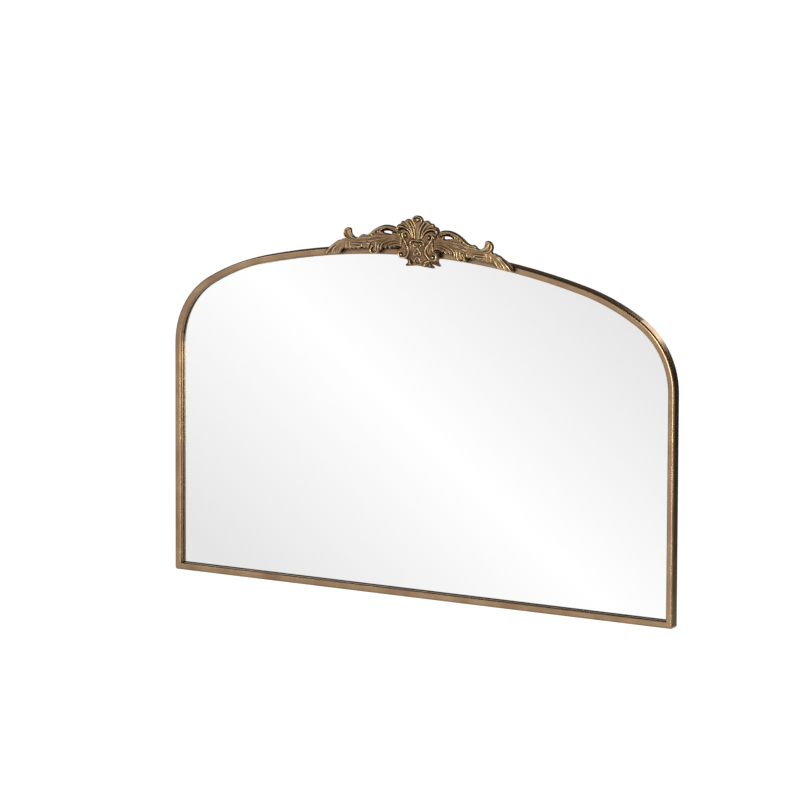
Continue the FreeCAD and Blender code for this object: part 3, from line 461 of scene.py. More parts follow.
def carve(mesh, plan):
    # moves the plate's front to the carved height, its back to its own and its sides in
    # proportion, and gives back how much brighter or darker each place is worn
    count = len(mesh.vertices)
    places = np.empty(count * 3)
    mesh.vertices.foreach_get("co", places)
    places = places.reshape(-1, 3)
    spots = np.column_stack((np.abs(places[:, 0]) / mm, places[:, 2] / mm - crestPlace["foot"]))
    out = -places[:, 1] / mm - crestPlace["tubeFront"]
    height = spread(spots, plan["levels"])
    rear = spread(spots, plan["backs"])
    # rounded shoulders along the outline and round the holes
    toEdge = np.full(count, np.inf)
    for outline in [plan["outline"]] + plan["holes"]:
        line = smoothLine(outline + outline[:1])
        toEdge = np.minimum(toEdge, nearestOnLine(spots, line)[0])
    shoulder = 1 - np.clip(toEdge / plan["shoulder"], 0.0, 1.0)
    height -= plan["shoulderDrop"] * (1 - np.sqrt(1 - shoulder ** 2))
    rise, sink = formHeights(spots, plan["raised"]), formHeights(spots, plan["sunk"])
    height += plan["relief"] * rise - plan["cut"] * sink
    for x, up, top, radius in plan["beads"]:
        cap = radius ** 2 - ((spots - (x, up)) ** 2).sum(axis=1)
        bead = top - radius + np.sqrt(np.maximum(cap, 0))
        height = np.where(cap > 0, np.maximum(height, bead), height)
        shine = crestWearAndShading["rubbed"][1] * cap / radius ** 2
        rise = np.where(cap > 0, np.maximum(rise, shine), rise)
    back = crestPlace["back"]
    lift = np.clip((out - back) / (plan["front"] - back), 0.0, 1.0)
    carved = rear + lift * (np.maximum(height, rear + crestPlace["thinnest"]) - rear)
    fresh = np.where(out > back, carved, out * rear / back)
    places[:, 1] = -(crestPlace["tubeFront"] + fresh) * mm
    mesh.vertices.foreach_set("co", places.ravel())
    mesh.update()
    # rims and beads are rubbed bright, grooves stay dark
    bright = np.interp(rise, crestWearAndShading["rubbed"], (0.0, crestWearAndShading["rubWeight"]))
    return bright - np.interp(sink, crestWearAndShading["sooted"], (0.0, crestWearAndShading["sootWeight"]))


def addPlate(work, plan, side):
    # a flat plate with softened edges, cut to the outline
    front, back, edge = plan["front"], crestPlace["back"], plan["edge"]
    curve = bpy.data.curves.new("crestPlate", "CURVE")
    curve.dimensions = "2D"
    curve.fill_mode = "BOTH"
    curve.extrude = ((front - back) / 2 - edge) * mm
    curve.bevel_depth = edge * mm
    curve.offset = -edge * mm
    curve.bevel_resolution = crestPlace["edgeParts"]
    curve.resolution_u = crestPlace["curveParts"]
    for line in [plan["outline"]] + plan["holes"]:
        spline = curve.splines.new("BEZIER")
        spline.use_cyclic_u = True
        spline.bezier_points.add(len(line) - 1)
        for point, (x, up) in zip(spline.bezier_points, line):
            point.co = (side * x * mm, up * mm, 0.0)
            point.handle_left_type = "AUTO"
            point.handle_right_type = "AUTO"
    carrier = bpy.data.objects.new("crestPlate", curve)
    scene.collection.objects.link(carrier)
    bpy.context.view_layer.update()
    mesh = bpy.data.meshes.new_from_object(carrier)
    stand = Matrix.Translation(crestSpot(0.0, 0.0, (back + front) / 2))
    mesh.transform(stand @ Matrix.Rotation(math.radians(90), 4, "X"))
    work.from_mesh(mesh)
    bpy.data.objects.remove(carrier)
    bpy.data.meshes.remove(mesh)
    bpy.data.curves.remove(curve)


def addFeet(work, plan, side):
    # round feet that stand on the tube
    for x, up, radius in plan["feet"]:
        start = crestSpot(side * x, up, 0.0)
        end = crestSpot(side * x, up, crestPlace["back"] + crestPlace["footReach"])
        middle = Matrix.Translation((start + end) / 2) @ Matrix.Rotation(math.radians(90), 4, "X")
        bmesh.ops.create_cone(work, cap_ends=True, segments=crestPlace["footSides"],
                              radius1=radius * mm, radius2=radius * mm,
                              depth=(end - start).length, matrix=middle)


def storePatinaAndShading(mesh, wear):
    # the wear, with how far each place stands proud of its surroundings: 0 in a hollow, 1 on a rim;
    # with painted light on the outer leaves and painted shade on the side walls
    count = len(mesh.vertices)
    places = np.empty(count * 3)
    normals = np.empty(count * 3)
    mesh.vertices.foreach_get("co", places)
    mesh.vertices.foreach_get("normal", normals)
    places, normals = places.reshape(-1, 3), normals.reshape(-1, 3)
    ends = np.empty(len(mesh.edges) * 2, dtype=np.int64)
    mesh.edges.foreach_get("vertices", ends)
    a, b = ends.reshape(-1, 2).T
    degree = np.bincount(a, minlength=count) + np.bincount(b, minlength=count)

    def average(values):
        total = np.zeros_like(values)
        for axis in range(values.shape[1]):
            column = values[:, axis]
            total[:, axis] = np.bincount(a, column[b], count) + np.bincount(b, column[a], count)
        return total / degree[:, None]

    blurred = places.copy()
    fine = None
    for step in range(crestWearAndShading["wideSteps"]):
        blurred = average(blurred)
        if step == crestWearAndShading["fineSteps"] - 1:
            fine = ((places - blurred) * normals).sum(axis=1)
    wide = ((places - blurred) * normals).sum(axis=1)
    proud = crestWearAndShading["fineWeight"] * fine + crestWearAndShading["wideWeight"] * wide
    outward = -places[:, 1] / mm - crestPlace["tubeFront"]
    lift = (outward - crestWearAndShading["middleOut"]) * crestWearAndShading["outWeight"]
    lift *= 1 - np.clip(normals[:, 1], 0.0, 1.0)
    across = np.abs(places[:, 0]) / mm
    # painted light: the outer leaves are drawn brighter
    lift += np.interp(across, crestWearAndShading["outer"], (0.0, crestWearAndShading["outerPaintedLight"]))
    values = average((proud / mm + lift)[:, None])[:, 0]
    front = np.clip(-normals[:, 1], 0.0, 1.0)
    # painted shade: the side walls are drawn darker than the front
    sides = crestWearAndShading["sides"] + (1 - crestWearAndShading["sides"]) * np.abs(normals[:, 1])
    patinaAndShading = np.clip((crestWearAndShading["middle"] + values) * sides + wear * front, 0.0, 1.0)
    layer = mesh.attributes.new("patinaAndShading", "FLOAT", "POINT")
    layer.data.foreach_set("value", patinaAndShading.astype(np.float32))


def makeCasting(plan, side, name, node):
    # cuts the plate, carves it and hands the casting over to the frame
    work = bmesh.new()
    addPlate(work, plan, side)
    addFeet(work, plan, side)
    rough = bpy.data.meshes.new(name)
    work.to_mesh(rough)
    work.free()
    carrier = bpy.data.objects.new(name, rough)
    scene.collection.objects.link(carrier)
    melt = carrier.modifiers.new("melt", "REMESH")
    melt.mode = "VOXEL"
    melt.voxel_size = crestPlace["voxel"] * mm
    melt.use_smooth_shade = True
    smooth = carrier.modifiers.new("smooth", "SMOOTH")
    smooth.factor = crestPlace["smoothing"]
    smooth.iterations = crestPlace["smoothSteps"]
    bpy.context.view_layer.update()
    graph = bpy.context.evaluated_depsgraph_get()
    mesh = bpy.data.meshes.new_from_object(carrier.evaluated_get(graph))
    bpy.data.objects.remove(carrier)
    mesh.name = name
    storePatinaAndShading(mesh, carve(mesh, plan))
    mesh.materials.append(crestBrass)
    casting = bpy.data.objects.new(name, mesh)
    scene.collection.objects.link(casting)
    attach(casting, "mirror")
    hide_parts(node)
    print(name, len(mesh.polygons), "faces")


def mirroredOutline(half):
    # the whole outline from its right half, which runs from the top round to the foot
    return half + [(-x, up) for x, up in reversed(half) if x > 0]


# Middle casting: a shell over a scrolled cartouche, given as its right half
cartouche = {
    "front": 12.0,  # out to the uncarved plate's front
    "edge": 0.6,
    "shoulder": 2.4,  # how far in from the outline the front is rounded
    "shoulderDrop": 1.8,
    "relief": 0.62,  # shares of the heights and depths below
    "cut": 0.62,
    "outline": mirroredOutline([
        (0, 79.9), (4.6, 79.4), (8.0, 77.2), (10.0, 74.0), (10.7, 71.4), (13.0, 72.4), (16.8, 73.2),
        (20.6, 72.2), (22.8, 70.0), (24.4, 68.8), (27.2, 69.2), (29.8, 67.6), (31.2, 64.6),
        (34.6, 63.4), (37.4, 60.6), (38.4, 57.0), (37.4, 53.0), (34.6, 50.6), (33.4, 47.4),
        (31.4, 44.6), (28.8, 43.2), (28.4, 38.0), (28.4, 31.0), (30.4, 26.0), (34.6, 22.6),
        (36.6, 18.2), (36.2, 13.4), (33.4, 9.8), (28.6, 8.2), (23.4, 8.0), (20.4, 6.6), (20.2, 4.0),
        (22.6, 1.0), (26.6, -2.6), (25.2, -4.0), (20.0, -3.6), (14.6, -2.6), (8.0, -1.7), (3.6, -1.0)
    ]),
    "holes": [],
    # how far out the front and the back are: across, up, out
    "levels": [
        (0, 79, 12.4), (0, 70, 12.8), (0, 56, 12.8), (0, 45, 12.8), (12, 72, 12.4), (20, 62, 12.2),
        (28, 67, 12.0), (37, 58, 12.2), (20, 48, 11.0), (31, 47, 11.6), (23, 38, 11.8),
        (28.4, 38, 10.4), (16, 27, 12.6), (0, 32, 11.2), (0, 18, 10.8), (27, 28, 10.6), (29, 15, 12.2),
        (34, 20, 11.6), (0, 6, 10.6), (14, 4, 11.0), (20, 2, 6.4), (24, -1, 2.0), (21, 7, 9.0)
    ],
    "backs": [
        (0, 79, 8.2), (0, 68, 8.0), (0, 56, 7.0), (14, 70, 8.0), (27, 67, 7.6), (37, 58, 5.2),
        (20, 55, 7.0), (33, 48, 4.6), (0, 44, 5.0), (20, 40, 5.0), (0, 30, 2.4), (28, 32, 2.0),
        (18, 22, 0.3), (32, 20, 0.3), (34, 12, 0.3), (26, 9, 0.3), (0, 18, 0.3), (0, 2, 0.3),
        (14, 3, 0.3), (23, 0, 0.3)
    ],
    "raised": [
        # stalk and top lobe
        ([(0, 41), (0, 52), (0, 60), (0, 66)], (0.8, 1.0, 0.5), (3.6, 3.6, 4.8), 1.8),
        ([(4.0, 43), (4.3, 50), (5.1, 56), (6.8, 60.8), (9.8, 66.0), (12.4, 69.4)],
         (1.9, 2.2, 1.7), (1.0, 1.3, 1.1), 1.0),
        ([(2.2, 58.5), (3.6, 64.0), (6.4, 68.4), (8.4, 71.6), (8.6, 74.6), (6.4, 77.0), (3.2, 78.2),
          (0, 78.5)],
         (1.1, 2.1, 2.0), (0.8, 1.3, 1.4), 1.0),
        ([(0, 70.6), (0, 74.6)], (0.3, 1.3, 1.2), (1.4, 3.0, 2.6), 1.4),
        # rims of the petals and the curled end of the lowest one
        ([(7.4, 44), (9.4, 53.0), (13.8, 61.4), (19.4, 68.6)],
         (1.8, 2.1, 1.4), (0.9, 1.2, 1.0), 1.0),
        ([(8.8, 44.5), (12.6, 52.6), (18.8, 57.8), (25.6, 60.2), (31.6, 59.8)],
         (2.0, 2.8, 2.4), (1.1, 1.4, 1.4), 0.9),
        ([(31.4, 60.0), (35.0, 59.6), (37.0, 57.2), (36.0, 54.4), (33.8, 53.6)],
         (2.1, 2.4, 1.4), (1.5, 1.8, 1.3), 1.0),
        # bodies of the petals
        ([(13.0, 57.0), (18.2, 63.4), (22.4, 69.0)], (0.3, 1.0, 0.9), (1.4, 2.4, 2.4), 1.6),
        ([(15.0, 57.4), (21.4, 63.4), (27.4, 67.4)], (0.3, 1.3, 1.0), (1.8, 3.2, 3.0), 1.6),
        ([(21.0, 61.6), (27.4, 63.6), (33.0, 62.8)], (0.3, 1.1, 1.0), (1.2, 2.0, 2.2), 1.4),
        # small leaf in the hollow
        ([(12.8, 45.6), (16.0, 50.0), (20.8, 52.4), (25.2, 50.8), (27.4, 47.6)],
         (1.0, 1.7, 1.3), (1.2, 1.8, 1.4), 1.1),
        ([(14.8, 44.0), (17.0, 46.8), (18.4, 49.0)], (0.6, 1.3, 0.8), (0.9, 1.2, 0.9), 1.0),
        # S-shaped rim and its volute
        ([(27.6, 49.0), (27.0, 45.0), (24.2, 40.2), (19.8, 33.8), (16.6, 28.6), (15.4, 24.2),
          (15.8, 19.4), (19.4, 13.0)],
         (2.4, 3.6, 3.4), (1.4, 1.9, 1.7), 1.0),
        ([(19.4, 13.0), (23.6, 10.2), (28.8, 9.6), (33.0, 11.8), (34.6, 15.8), (32.8, 19.4),
          (29.4, 20.6)],
         (3.2, 2.2, 1.6), (1.6, 1.8, 1.4), 1.0),
        # flutes outside the rim
        ([(27.8, 42.2), (23.6, 36.4), (20.2, 30.2), (19.4, 25.0), (20.8, 19.6)],
         (0.5, 1.0, 1.3), (1.0, 1.5, 1.1), 1.2),
        ([(28.2, 37.0), (25.0, 31.8), (22.9, 27.2), (23.6, 21.6)],
         (0.5, 1.0, 1.3), (1.0, 1.5, 1.1), 1.2),
        ([(28.4, 32.2), (26.8, 28.8), (26.8, 24.8)], (0.4, 0.9, 0.9), (1.0, 1.4, 1.0), 1.2),
        # hood and the pair of small scrolls below it
        ([(0, 39.7), (5.0, 39.9), (9.2, 39.4), (11.6, 37.4)],
         (2.2, 2.6, 2.6), (0.9, 1.1, 1.3), 0.9),
        ([(11.4, 37.6), (12.4, 35.0), (11.4, 32.8)], (2.4, 3.4, 2.0), (1.2, 2.0, 1.2), 1.0),
        ([(1.6, 34.0), (4.6, 34.4), (6.6, 32.4), (5.4, 30.2), (3.2, 30.8)],
         (1.3, 2.5, 2.0), (0.9, 1.3, 1.1), 1.0),
        # pointed leaf, its drop and the smaller leaf below
        ([(0, 28.6), (2.0, 25.2), (5.0, 21.8), (6.6, 18.6), (5.2, 16.2), (2.8, 16.4)],
         (1.9, 2.3, 1.8), (0.9, 1.2, 1.0), 0.9),
        ([(0, 21.4), (0, 18.4)], (0.6, 2.2, 2.0), (1.0, 2.0, 1.8), 1.2),
        ([(0, 13.4), (2.8, 11.4), (4.6, 8.2), (5.8, 5.2)], (1.8, 2.4, 1.6), (0.9, 1.3, 1.0), 0.9),
        # leaves of the foot
        ([(21.6, 7.6), (16.6, 7.4), (13.0, 4.6), (11.0, -0.4)],
         (1.2, 2.4, 1.6), (1.0, 1.5, 1.2), 1.0),
        ([(18.4, 5.2), (16.4, 2.8), (16.4, -0.6)], (0.8, 1.8, 1.2), (0.9, 1.2, 1.0), 1.0),
        ([(12.4, 10.6), (8.8, 8.0), (6.8, 4.4), (6.0, 0.4)], (0.4, 1.3, 0.8), (0.9, 1.3, 0.9), 1.0),
    ],
    "sunk": [
        # the ring round the top lobe's heart
        ([(0, 69.6), (3.2, 71.4), (4.8, 74.0), (3.8, 75.8), (1.6, 76.2), (0, 76.2)],
         (0.6, 1.3, 1.2), (0.9, 1.2, 0.9), 1.1),
        # between the petals
        ([(5.8, 48), (7.2, 56), (10.6, 62.6), (15.4, 68.6)], (0.5, 1.2, 1.5), (0.7, 1.0, 1.2), 1.1),
        ([(4.2, 60.4), (6.4, 65.2), (9.8, 69.4)], (0.3, 0.9, 0.9), (0.6, 0.9, 0.8), 1.1),
        ([(10.6, 52.6), (15.4, 60.4), (23.4, 67.4)], (0.4, 0.9, 0.5), (0.7, 0.9, 0.8), 1.0),
        ([(18.0, 59.4), (25.0, 62.4), (31.0, 64.6)], (0.4, 0.9, 0.5), (0.6, 0.9, 0.7), 1.0),
        # hollow below the lowest petal
        ([(12.6, 49.0), (17.0, 53.8), (23.0, 56.8), (28.6, 56.6), (32.6, 54.2)],
         (0.8, 2.6, 2.6), (1.0, 1.6, 2.0), 0.8),
        ([(22.8, 48.8), (22.4, 44.8), (19.2, 42.4)], (0.8, 1.6, 0.8), (1.2, 2.0, 1.5), 1.1),
        ([(13.2, 42.4), (15.6, 38.6), (15.0, 33.6)], (0.4, 0.7, 0.4), (1.4, 2.4, 1.6), 1.4),
        ([(0, 37.4), (4.6, 37.7), (8.6, 36.6)], (1.2, 1.7, 1.2), (0.9, 1.1, 0.9), 1.0),
        ([(10.4, 29.6), (10.8, 22.0), (12.2, 15.0)], (0.3, 0.7, 0.6), (2.0, 2.8, 2.2), 1.6),
        ([(29.0, 12.0), (31.6, 14.4), (31.0, 17.6), (27.6, 18.2), (25.8, 15.6), (26.8, 12.8)],
         (0.5, 0.5, 0.8), (1.0, 1.2, 1.0), 1.2),
        ([(9.6, 1.0), (10.8, 5.4), (13.4, 8.4)], (1.4, 1.6, 0.6), (0.9, 1.2, 0.7), 0.9),
        ([(13.6, 0.4), (14.6, 3.0), (16.0, 5.0)], (1.2, 1.4, 0.6), (0.6, 0.9, 0.6), 0.9),
        ([(0, 3.4), (2.6, 4.4), (3.6, 7.4)], (1.2, 1.2, 0.6), (1.2, 1.2, 0.8), 1.0),
    ],
    # beads: across, up, top and radius; feet: across, up and radius
    "beads": [
        (28.8, 15.4, 14.8, 2.2), (35.2, 57.4, 15.0, 2.4), (31.2, 47.4, 14.6, 2.0),
        (21.2, 46.4, 13.4, 2.1), (13.4, 2.4, 13.4, 2.2), (12.2, 35.0, 13.8, 1.6)
    ],
    "feet": [(20.0, 17.7, 4.5), (-20.0, 17.7, 4.5)],
}

# Side castings: an arching leaf with a curled tip, given as the right one
wing = {
    "front": 9.5,
    "edge": 0.6,
    "shoulder": 2.2,
    "shoulderDrop": 1.6,
    "relief": 0.8,
    "cut": 0.8,
    "outline": [
        (28.9, 36.0), (28.9, 43.6), (31.8, 45.2), (33.8, 48.0), (35.2, 50.4), (37.8, 52.6),
        (38.7, 56.2), (41.8, 58.2), (46.0, 59.4), (51.4, 60.1), (57.4, 60.2), (63.4, 59.2),
        (70.0, 56.8), (77.0, 53.0), (83.2, 48.4), (88.0, 44.4), (92.4, 41.6), (97.0, 40.6),
        (101.6, 41.0), (105.4, 39.2), (108.4, 36.4), (112.6, 35.2), (117.4, 36.8), (121.0, 40.8),
        (121.8, 45.4), (122.6, 48.6), (126.6, 49.9), (131.0, 49.2), (134.8, 46.2), (136.6, 41.6),
        (136.2, 37.4), (134.4, 34.0), (134.6, 31.6), (140.2, 30.4), (142.4, 28.8), (146.8, 27.8),
        (151.2, 25.0), (156.4, 21.2), (163.0, 15.8), (168.0, 10.6), (170.4, 6.4), (169.6, 3.6),
        (165.4, 3.0), (160.0, 3.8), (154.0, 4.8), (149.0, 5.6), (145.6, 7.2), (142.8, 10.0),
        (140.4, 13.4), (137.2, 15.6), (131.4, 15.2), (128.4, 16.2), (125.2, 15.4), (121.8, 17.2),
        (117.6, 16.6), (113.8, 18.2), (109.4, 17.2), (105.8, 19.6), (102.0, 20.6), (98.8, 19.2),
        (94.8, 20.6), (91.0, 19.4), (88.4, 21.4), (87.4, 19.0), (87.4, 15.6), (84.4, 12.8),
        (79.8, 12.0), (75.4, 12.8), (72.4, 15.8), (70.6, 19.4), (68.4, 18.6), (66.2, 20.6),
        (64.4, 24.0), (61.4, 22.4), (58.6, 21.8), (56.2, 25.0), (53.2, 23.0), (50.4, 22.2),
        (48.2, 25.0), (44.6, 24.6), (40.0, 24.8), (35.0, 25.0), (30.2, 25.0)
    ],
    "holes": [[
        (48.0, 46.3), (47.4, 48.2), (48.4, 49.9), (52.2, 50.6), (56.4, 50.5), (60.6, 49.6),
        (63.2, 48.3), (59.4, 46.9), (53.2, 46.3)
    ]],
    "levels": [
        (30, 40, 10.8), (42, 57, 10.4), (58, 58, 10.6), (74, 52, 11.0), (50, 40, 11.6), (66, 40, 12.0),
        (84, 40, 11.8), (45, 28, 10.2), (60, 25, 10.2), (68, 25, 10.8), (79, 17, 10.8), (100, 35, 11.2),
        (104, 22, 10.4), (120, 30, 11.2), (128, 18, 10.0), (120, 39, 10.8), (131, 45, 10.6),
        (144, 24, 10.4), (146, 11, 9.4), (158, 16, 9.8), (167, 6, 8.4)
    ],
    "backs": [
        (30, 40, 5.0), (42, 57, 6.0), (58, 58, 6.5), (60, 40, 5.0), (50, 25, 6.0), (64, 25, 5.5),
        (78, 24, 3.0), (79, 14, 0.3), (86, 16, 1.5), (92, 30, 4.5), (104, 22, 5.0), (122, 20, 5.0),
        (112, 36, 5.5), (131, 45, 6.0), (133, 22, 4.5), (142, 12, 2.0), (148, 24, 3.0), (155, 8, 0.3),
        (162, 14, 0.3), (168, 5, 0.3)
    ],
    "raised": [
        # band over the opening and the fold at the opening's end
        ([(40, 55.4), (48, 57.0), (57, 57.4), (67, 55.4), (76, 50.8), (84, 45.2), (92, 40.4)],
         (0.6, 1.35, 0.8), (2.0, 2.6, 2.2), 1.6),
        ([(60, 54.8), (65.4, 53.0), (68.8, 49.8), (68.4, 47.0)],
         (0.4, 1.8, 1.0), (0.8, 1.1, 0.9), 1.0),
        # crisp leaf tips
        ([(78.8, 51.0), (78.2, 47.6), (78.6, 44.0)], (1.2, 2.8, 1.2), (0.9, 1.4, 1.0), 0.9),
        ([(85.0, 45.2), (83.8, 42.8), (81.4, 41.2)], (1.0, 2.4, 1.0), (0.8, 1.3, 0.9), 0.9),
        ([(73.6, 51.0), (72.4, 48.8), (72.0, 46.0)], (0.8, 1.9, 0.8), (0.8, 1.2, 0.9), 0.9),
        ([(71.4, 43.0), (67.4, 41.4), (62.0, 42.2), (57.0, 41.8)],
         (0.8, 1.9, 0.4), (0.9, 1.1, 0.6), 1.0),
        ([(75.6, 37.4), (71.0, 35.8), (66.0, 37.4), (60.0, 38.2)],
         (0.6, 1.7, 0.4), (0.8, 1.1, 0.7), 1.0),
        ([(92.6, 28.6), (89.0, 26.9)], (1.4, 2.0, 1.4), (1.2, 1.5, 1.1), 1.0),
        # broad low strands of the leaf
        ([(30, 44.0), (42, 44.6), (54, 43.2), (66, 42.4), (78, 40.2), (90, 37.0), (104, 35.2),
          (116, 34.0)],
         (0.3, 1.1, 1.3), (1.5, 2.2, 1.4), 1.4),
        ([(30, 39.6), (42, 41.0), (54, 39.6), (64, 37.4), (76, 34.4), (90, 31.8)],
         (0.3, 1.0, 1.3), (1.5, 2.2, 1.4), 1.4),
        ([(30, 35.6), (41, 37.4), (52, 35.6), (61, 31.6), (66.4, 26.6), (67.8, 20.8)],
         (0.4, 1.4, 1.3), (1.2, 1.7, 1.8), 1.3),
        ([(30.4, 32.0), (39, 33.8), (47.6, 32.2), (54.0, 29.0), (58.0, 25.4), (58.6, 22.8)],
         (0.3, 1.3, 1.3), (1.1, 1.5, 1.6), 1.3),
        ([(31, 28.8), (38.4, 30.2), (45.0, 28.8), (49.4, 26.2), (50.4, 23.4)],
         (0.3, 1.1, 1.4), (1.0, 1.3, 1.4), 1.3),
        # fine lines between them
        ([(34, 42.4), (46, 42.8), (58, 41.0), (70, 38.8)], (0.1, 0.9, 0.8), (0.5, 0.8, 0.7), 1.0),
        ([(34, 37.6), (45, 38.8), (56, 36.8), (66, 33.8)], (0.1, 1.2, 0.8), (0.5, 0.9, 0.7), 1.0),
        ([(84, 39.6), (96, 36.6), (108, 36.0)], (0.6, 1.5, 0.8), (0.6, 0.9, 0.6), 1.0),
        ([(70, 36.4), (80, 33.6), (88, 29.6)], (0.4, 1.5, 1.6), (0.6, 1.1, 1.2), 1.1),
        ([(74, 44.8), (82, 39.4), (92, 34.2)], (0.4, 1.5, 1.2), (0.6, 1.0, 0.9), 1.1),
        # tongue over the tube with its hooked rim
        ([(66.8, 31.4), (69.6, 29.4), (71.3, 25.6), (71.8, 20.0), (73.2, 15.8), (75.8, 13.6)],
         (1.1, 1.75, 1.4), (1.1, 1.4, 1.2), 1.0),
        ([(75.8, 13.6), (79.6, 13.2), (83.8, 14.2), (86.2, 16.8), (85.2, 20.2), (83.2, 22.6),
          (81.6, 25.4)],
         (1.9, 3.0, 2.4), (1.2, 1.4, 1.3), 0.9),
        ([(76.6, 31.0), (76.6, 24.6), (77.6, 18)], (0.3, 0.9, 0.6), (1.2, 1.8, 1.8), 1.5),
        ([(86.0, 33.4), (88.2, 28.0), (90.4, 22.4)], (0.2, 0.9, 1.2), (1.0, 1.6, 1.4), 1.2),
        # flutes that run along the outer part, and the border where they end
        ([(92, 31.0), (102, 29.6), (112, 29.2), (121.6, 29.0)],
         (0.4, 1.4, 1.0), (0.8, 1.1, 0.9), 1.0),
        ([(93, 26.6), (103, 25.6), (113, 25.4), (121.4, 25.0)],
         (0.4, 1.4, 1.1), (1.0, 1.5, 1.2), 1.2),
        ([(98, 22.8), (107, 21.4), (115, 21.2), (121.0, 20.6)],
         (0.4, 1.3, 1.1), (1.0, 1.4, 1.2), 1.2),
        ([(124.0, 29.0), (124.9, 23.4), (123.6, 17.8)], (0.5, 0.9, 0.7), (1.0, 1.3, 1.0), 1.2),
        ([(103.8, 24.8), (101.8, 22.6)], (1.1, 1.7, 1.2), (1.1, 1.4, 1.1), 1.0),
        ([(128.4, 28.0), (131.8, 24.2), (132.0, 18.6)], (0.2, 0.8, 0.6), (1.2, 2.0, 1.6), 1.4),
        # outer leaf, down over the tube
        ([(150, 22.4), (156, 18.6), (161.6, 13.4), (165.4, 9.0), (168.0, 5.4)],
         (0.6, 2.1, 2.8), (1.4, 2.4, 2.0), 1.3),
        ([(145, 20.4), (150.6, 17.2), (154.4, 13.0), (156.6, 9.0), (157.2, 5.8)],
         (0.4, 1.4, 1.4), (1.2, 2.0, 1.7), 1.4),
        ([(137.0, 20.6), (140.6, 17.0), (143.2, 12.6), (145.8, 8.6)],
         (0.5, 1.6, 1.4), (0.9, 1.3, 1.2), 1.1),
        ([(136, 26.8), (144, 23.8), (150, 19.6)], (0.4, 1.2, 0.6), (1.2, 2.2, 1.4), 1.5),
        # curled tip: a smooth horn between two thin rims
        ([(110, 33.6), (117.4, 34.6), (123.2, 37.2), (126.8, 40.4), (127.6, 43.0)],
         (0.6, 1.6, 0.9), (1.4, 2.6, 3.4), 1.5),
        ([(131.4, 47.2), (134.2, 43.6), (134.4, 39.0), (132.0, 35.0), (127.6, 32.2), (121.0, 31.4)],
         (1.2, 3.3, 0.9), (1.2, 2.2, 1.0), 1.0),
        ([(108.8, 34.6), (115.4, 35.4), (119.8, 38.8), (122.0, 43.2), (123.6, 47.2)],
         (0.5, 1.5, 1.3), (0.8, 1.0, 0.9), 1.0),
    ],
    "sunk": [
        # deep pocket round the opening
        ([(45.6, 51.4), (53.6, 53.0), (60.6, 52.4), (65.8, 49.4)],
         (3.6, 5.6, 3.6), (1.5, 2.0, 1.5), 0.6),
        ([(37.6, 49.4), (41.0, 50.2), (44.6, 49.4)], (0.6, 1.4, 1.2), (1.5, 2.0, 1.6), 1.0),
        ([(75.4, 50.6), (75.6, 47.0), (75.8, 43.6)], (0.4, 1.0, 0.4), (0.7, 1.1, 0.8), 1.0),
        ([(81.2, 47.6), (81.4, 44.8), (80.6, 42.6)], (0.4, 1.0, 0.4), (0.7, 1.0, 0.8), 1.0),
        # under the leaf beside the middle casting, and between the drop tips
        ([(31.4, 26.4), (36.0, 26.6), (41.4, 26.0)], (2.4, 3.8, 2.0), (1.4, 1.7, 1.2), 0.8),
        ([(46.0, 28.0), (47.2, 26.0)], (0.6, 1.6, 1.6), (0.6, 0.9, 0.9), 0.9),
        ([(53.4, 29.6), (55.2, 26.8), (55.6, 25.0)], (0.5, 1.6, 1.6), (0.6, 1.0, 1.0), 0.9),
        ([(61.2, 30.6), (63.2, 27.0), (63.6, 24.6)], (0.5, 1.6, 1.6), (0.6, 1.0, 1.0), 0.9),
        # round the tongue
        ([(69.4, 28.0), (69.5, 24.0), (69.8, 20.0)], (0.6, 1.4, 1.0), (0.6, 0.9, 0.7), 1.0),
        ([(80.4, 15.0), (83.0, 16.4), (83.0, 19.6), (81.0, 22.4)],
         (0.9, 2.2, 1.1), (0.9, 1.3, 1.0), 0.9),
        ([(75.0, 29.0), (74.8, 23.0), (76.0, 17.4)], (0.3, 0.5, 0.4), (0.8, 1.0, 0.9), 1.1),
        ([(84.4, 29.6), (86.4, 25.4), (88.2, 22.6)], (0.5, 1.2, 1.4), (0.6, 0.9, 0.9), 1.0),
        # between the flutes of the outer part
        ([(94, 28.8), (104, 27.5), (120, 27.1)], (0.2, 0.35, 0.3), (0.6, 0.8, 0.7), 1.1),
        ([(97, 24.6), (106, 23.5), (119, 23.0)], (0.2, 0.3, 0.3), (0.6, 0.8, 0.7), 1.1),
        ([(104.6, 37.0), (109, 34.0), (118, 32.4), (124, 32.6)],
         (0.3, 0.6, 0.3), (0.6, 0.7, 0.6), 1.0),
        ([(133.2, 17.4), (136.4, 16.6)], (0.5, 1.0, 0.8), (1.2, 1.6, 1.2), 1.1),
        # curled tip: the shade inside its top
        ([(131.0, 44.8), (130.6, 41.0), (128.0, 37.4)], (1.0, 0.8, 0.3), (1.4, 1.4, 1.0), 1.3),
        # folds of the outer leaf
        ([(154, 17.6), (158.6, 12.6), (161.0, 8.2), (161.8, 4.8)],
         (0.1, 0.4, 0.6), (0.7, 1.0, 0.9), 1.2),
        ([(148.6, 15.6), (151.4, 11.8), (152.4, 7.4)], (0.2, 0.6, 0.5), (0.7, 1.2, 1.0), 1.2),
    ],
    "beads": [(85.6, 16.8, 13.0, 1.7), (82.2, 24.4, 13.6, 1.8)],
    "feet": [(82.0, 14.5, 3.4), (158.0, 8.4, 3.4)],
}


makeCasting(cartouche, 1, "crest_shell_casting", "crest_cartouche")
makeCasting(wing, -1, "crest_leaf_casting_left", "crest_wing_left")
makeCasting(wing, 1, "crest_leaf_casting_right", "crest_wing_right")
print("crest made")


# Studio: a pale floor well below the hanging mirror, a lit card for the glass to show, a black
# flag, a tall lamp in front on the right, a soft one on the left and one behind

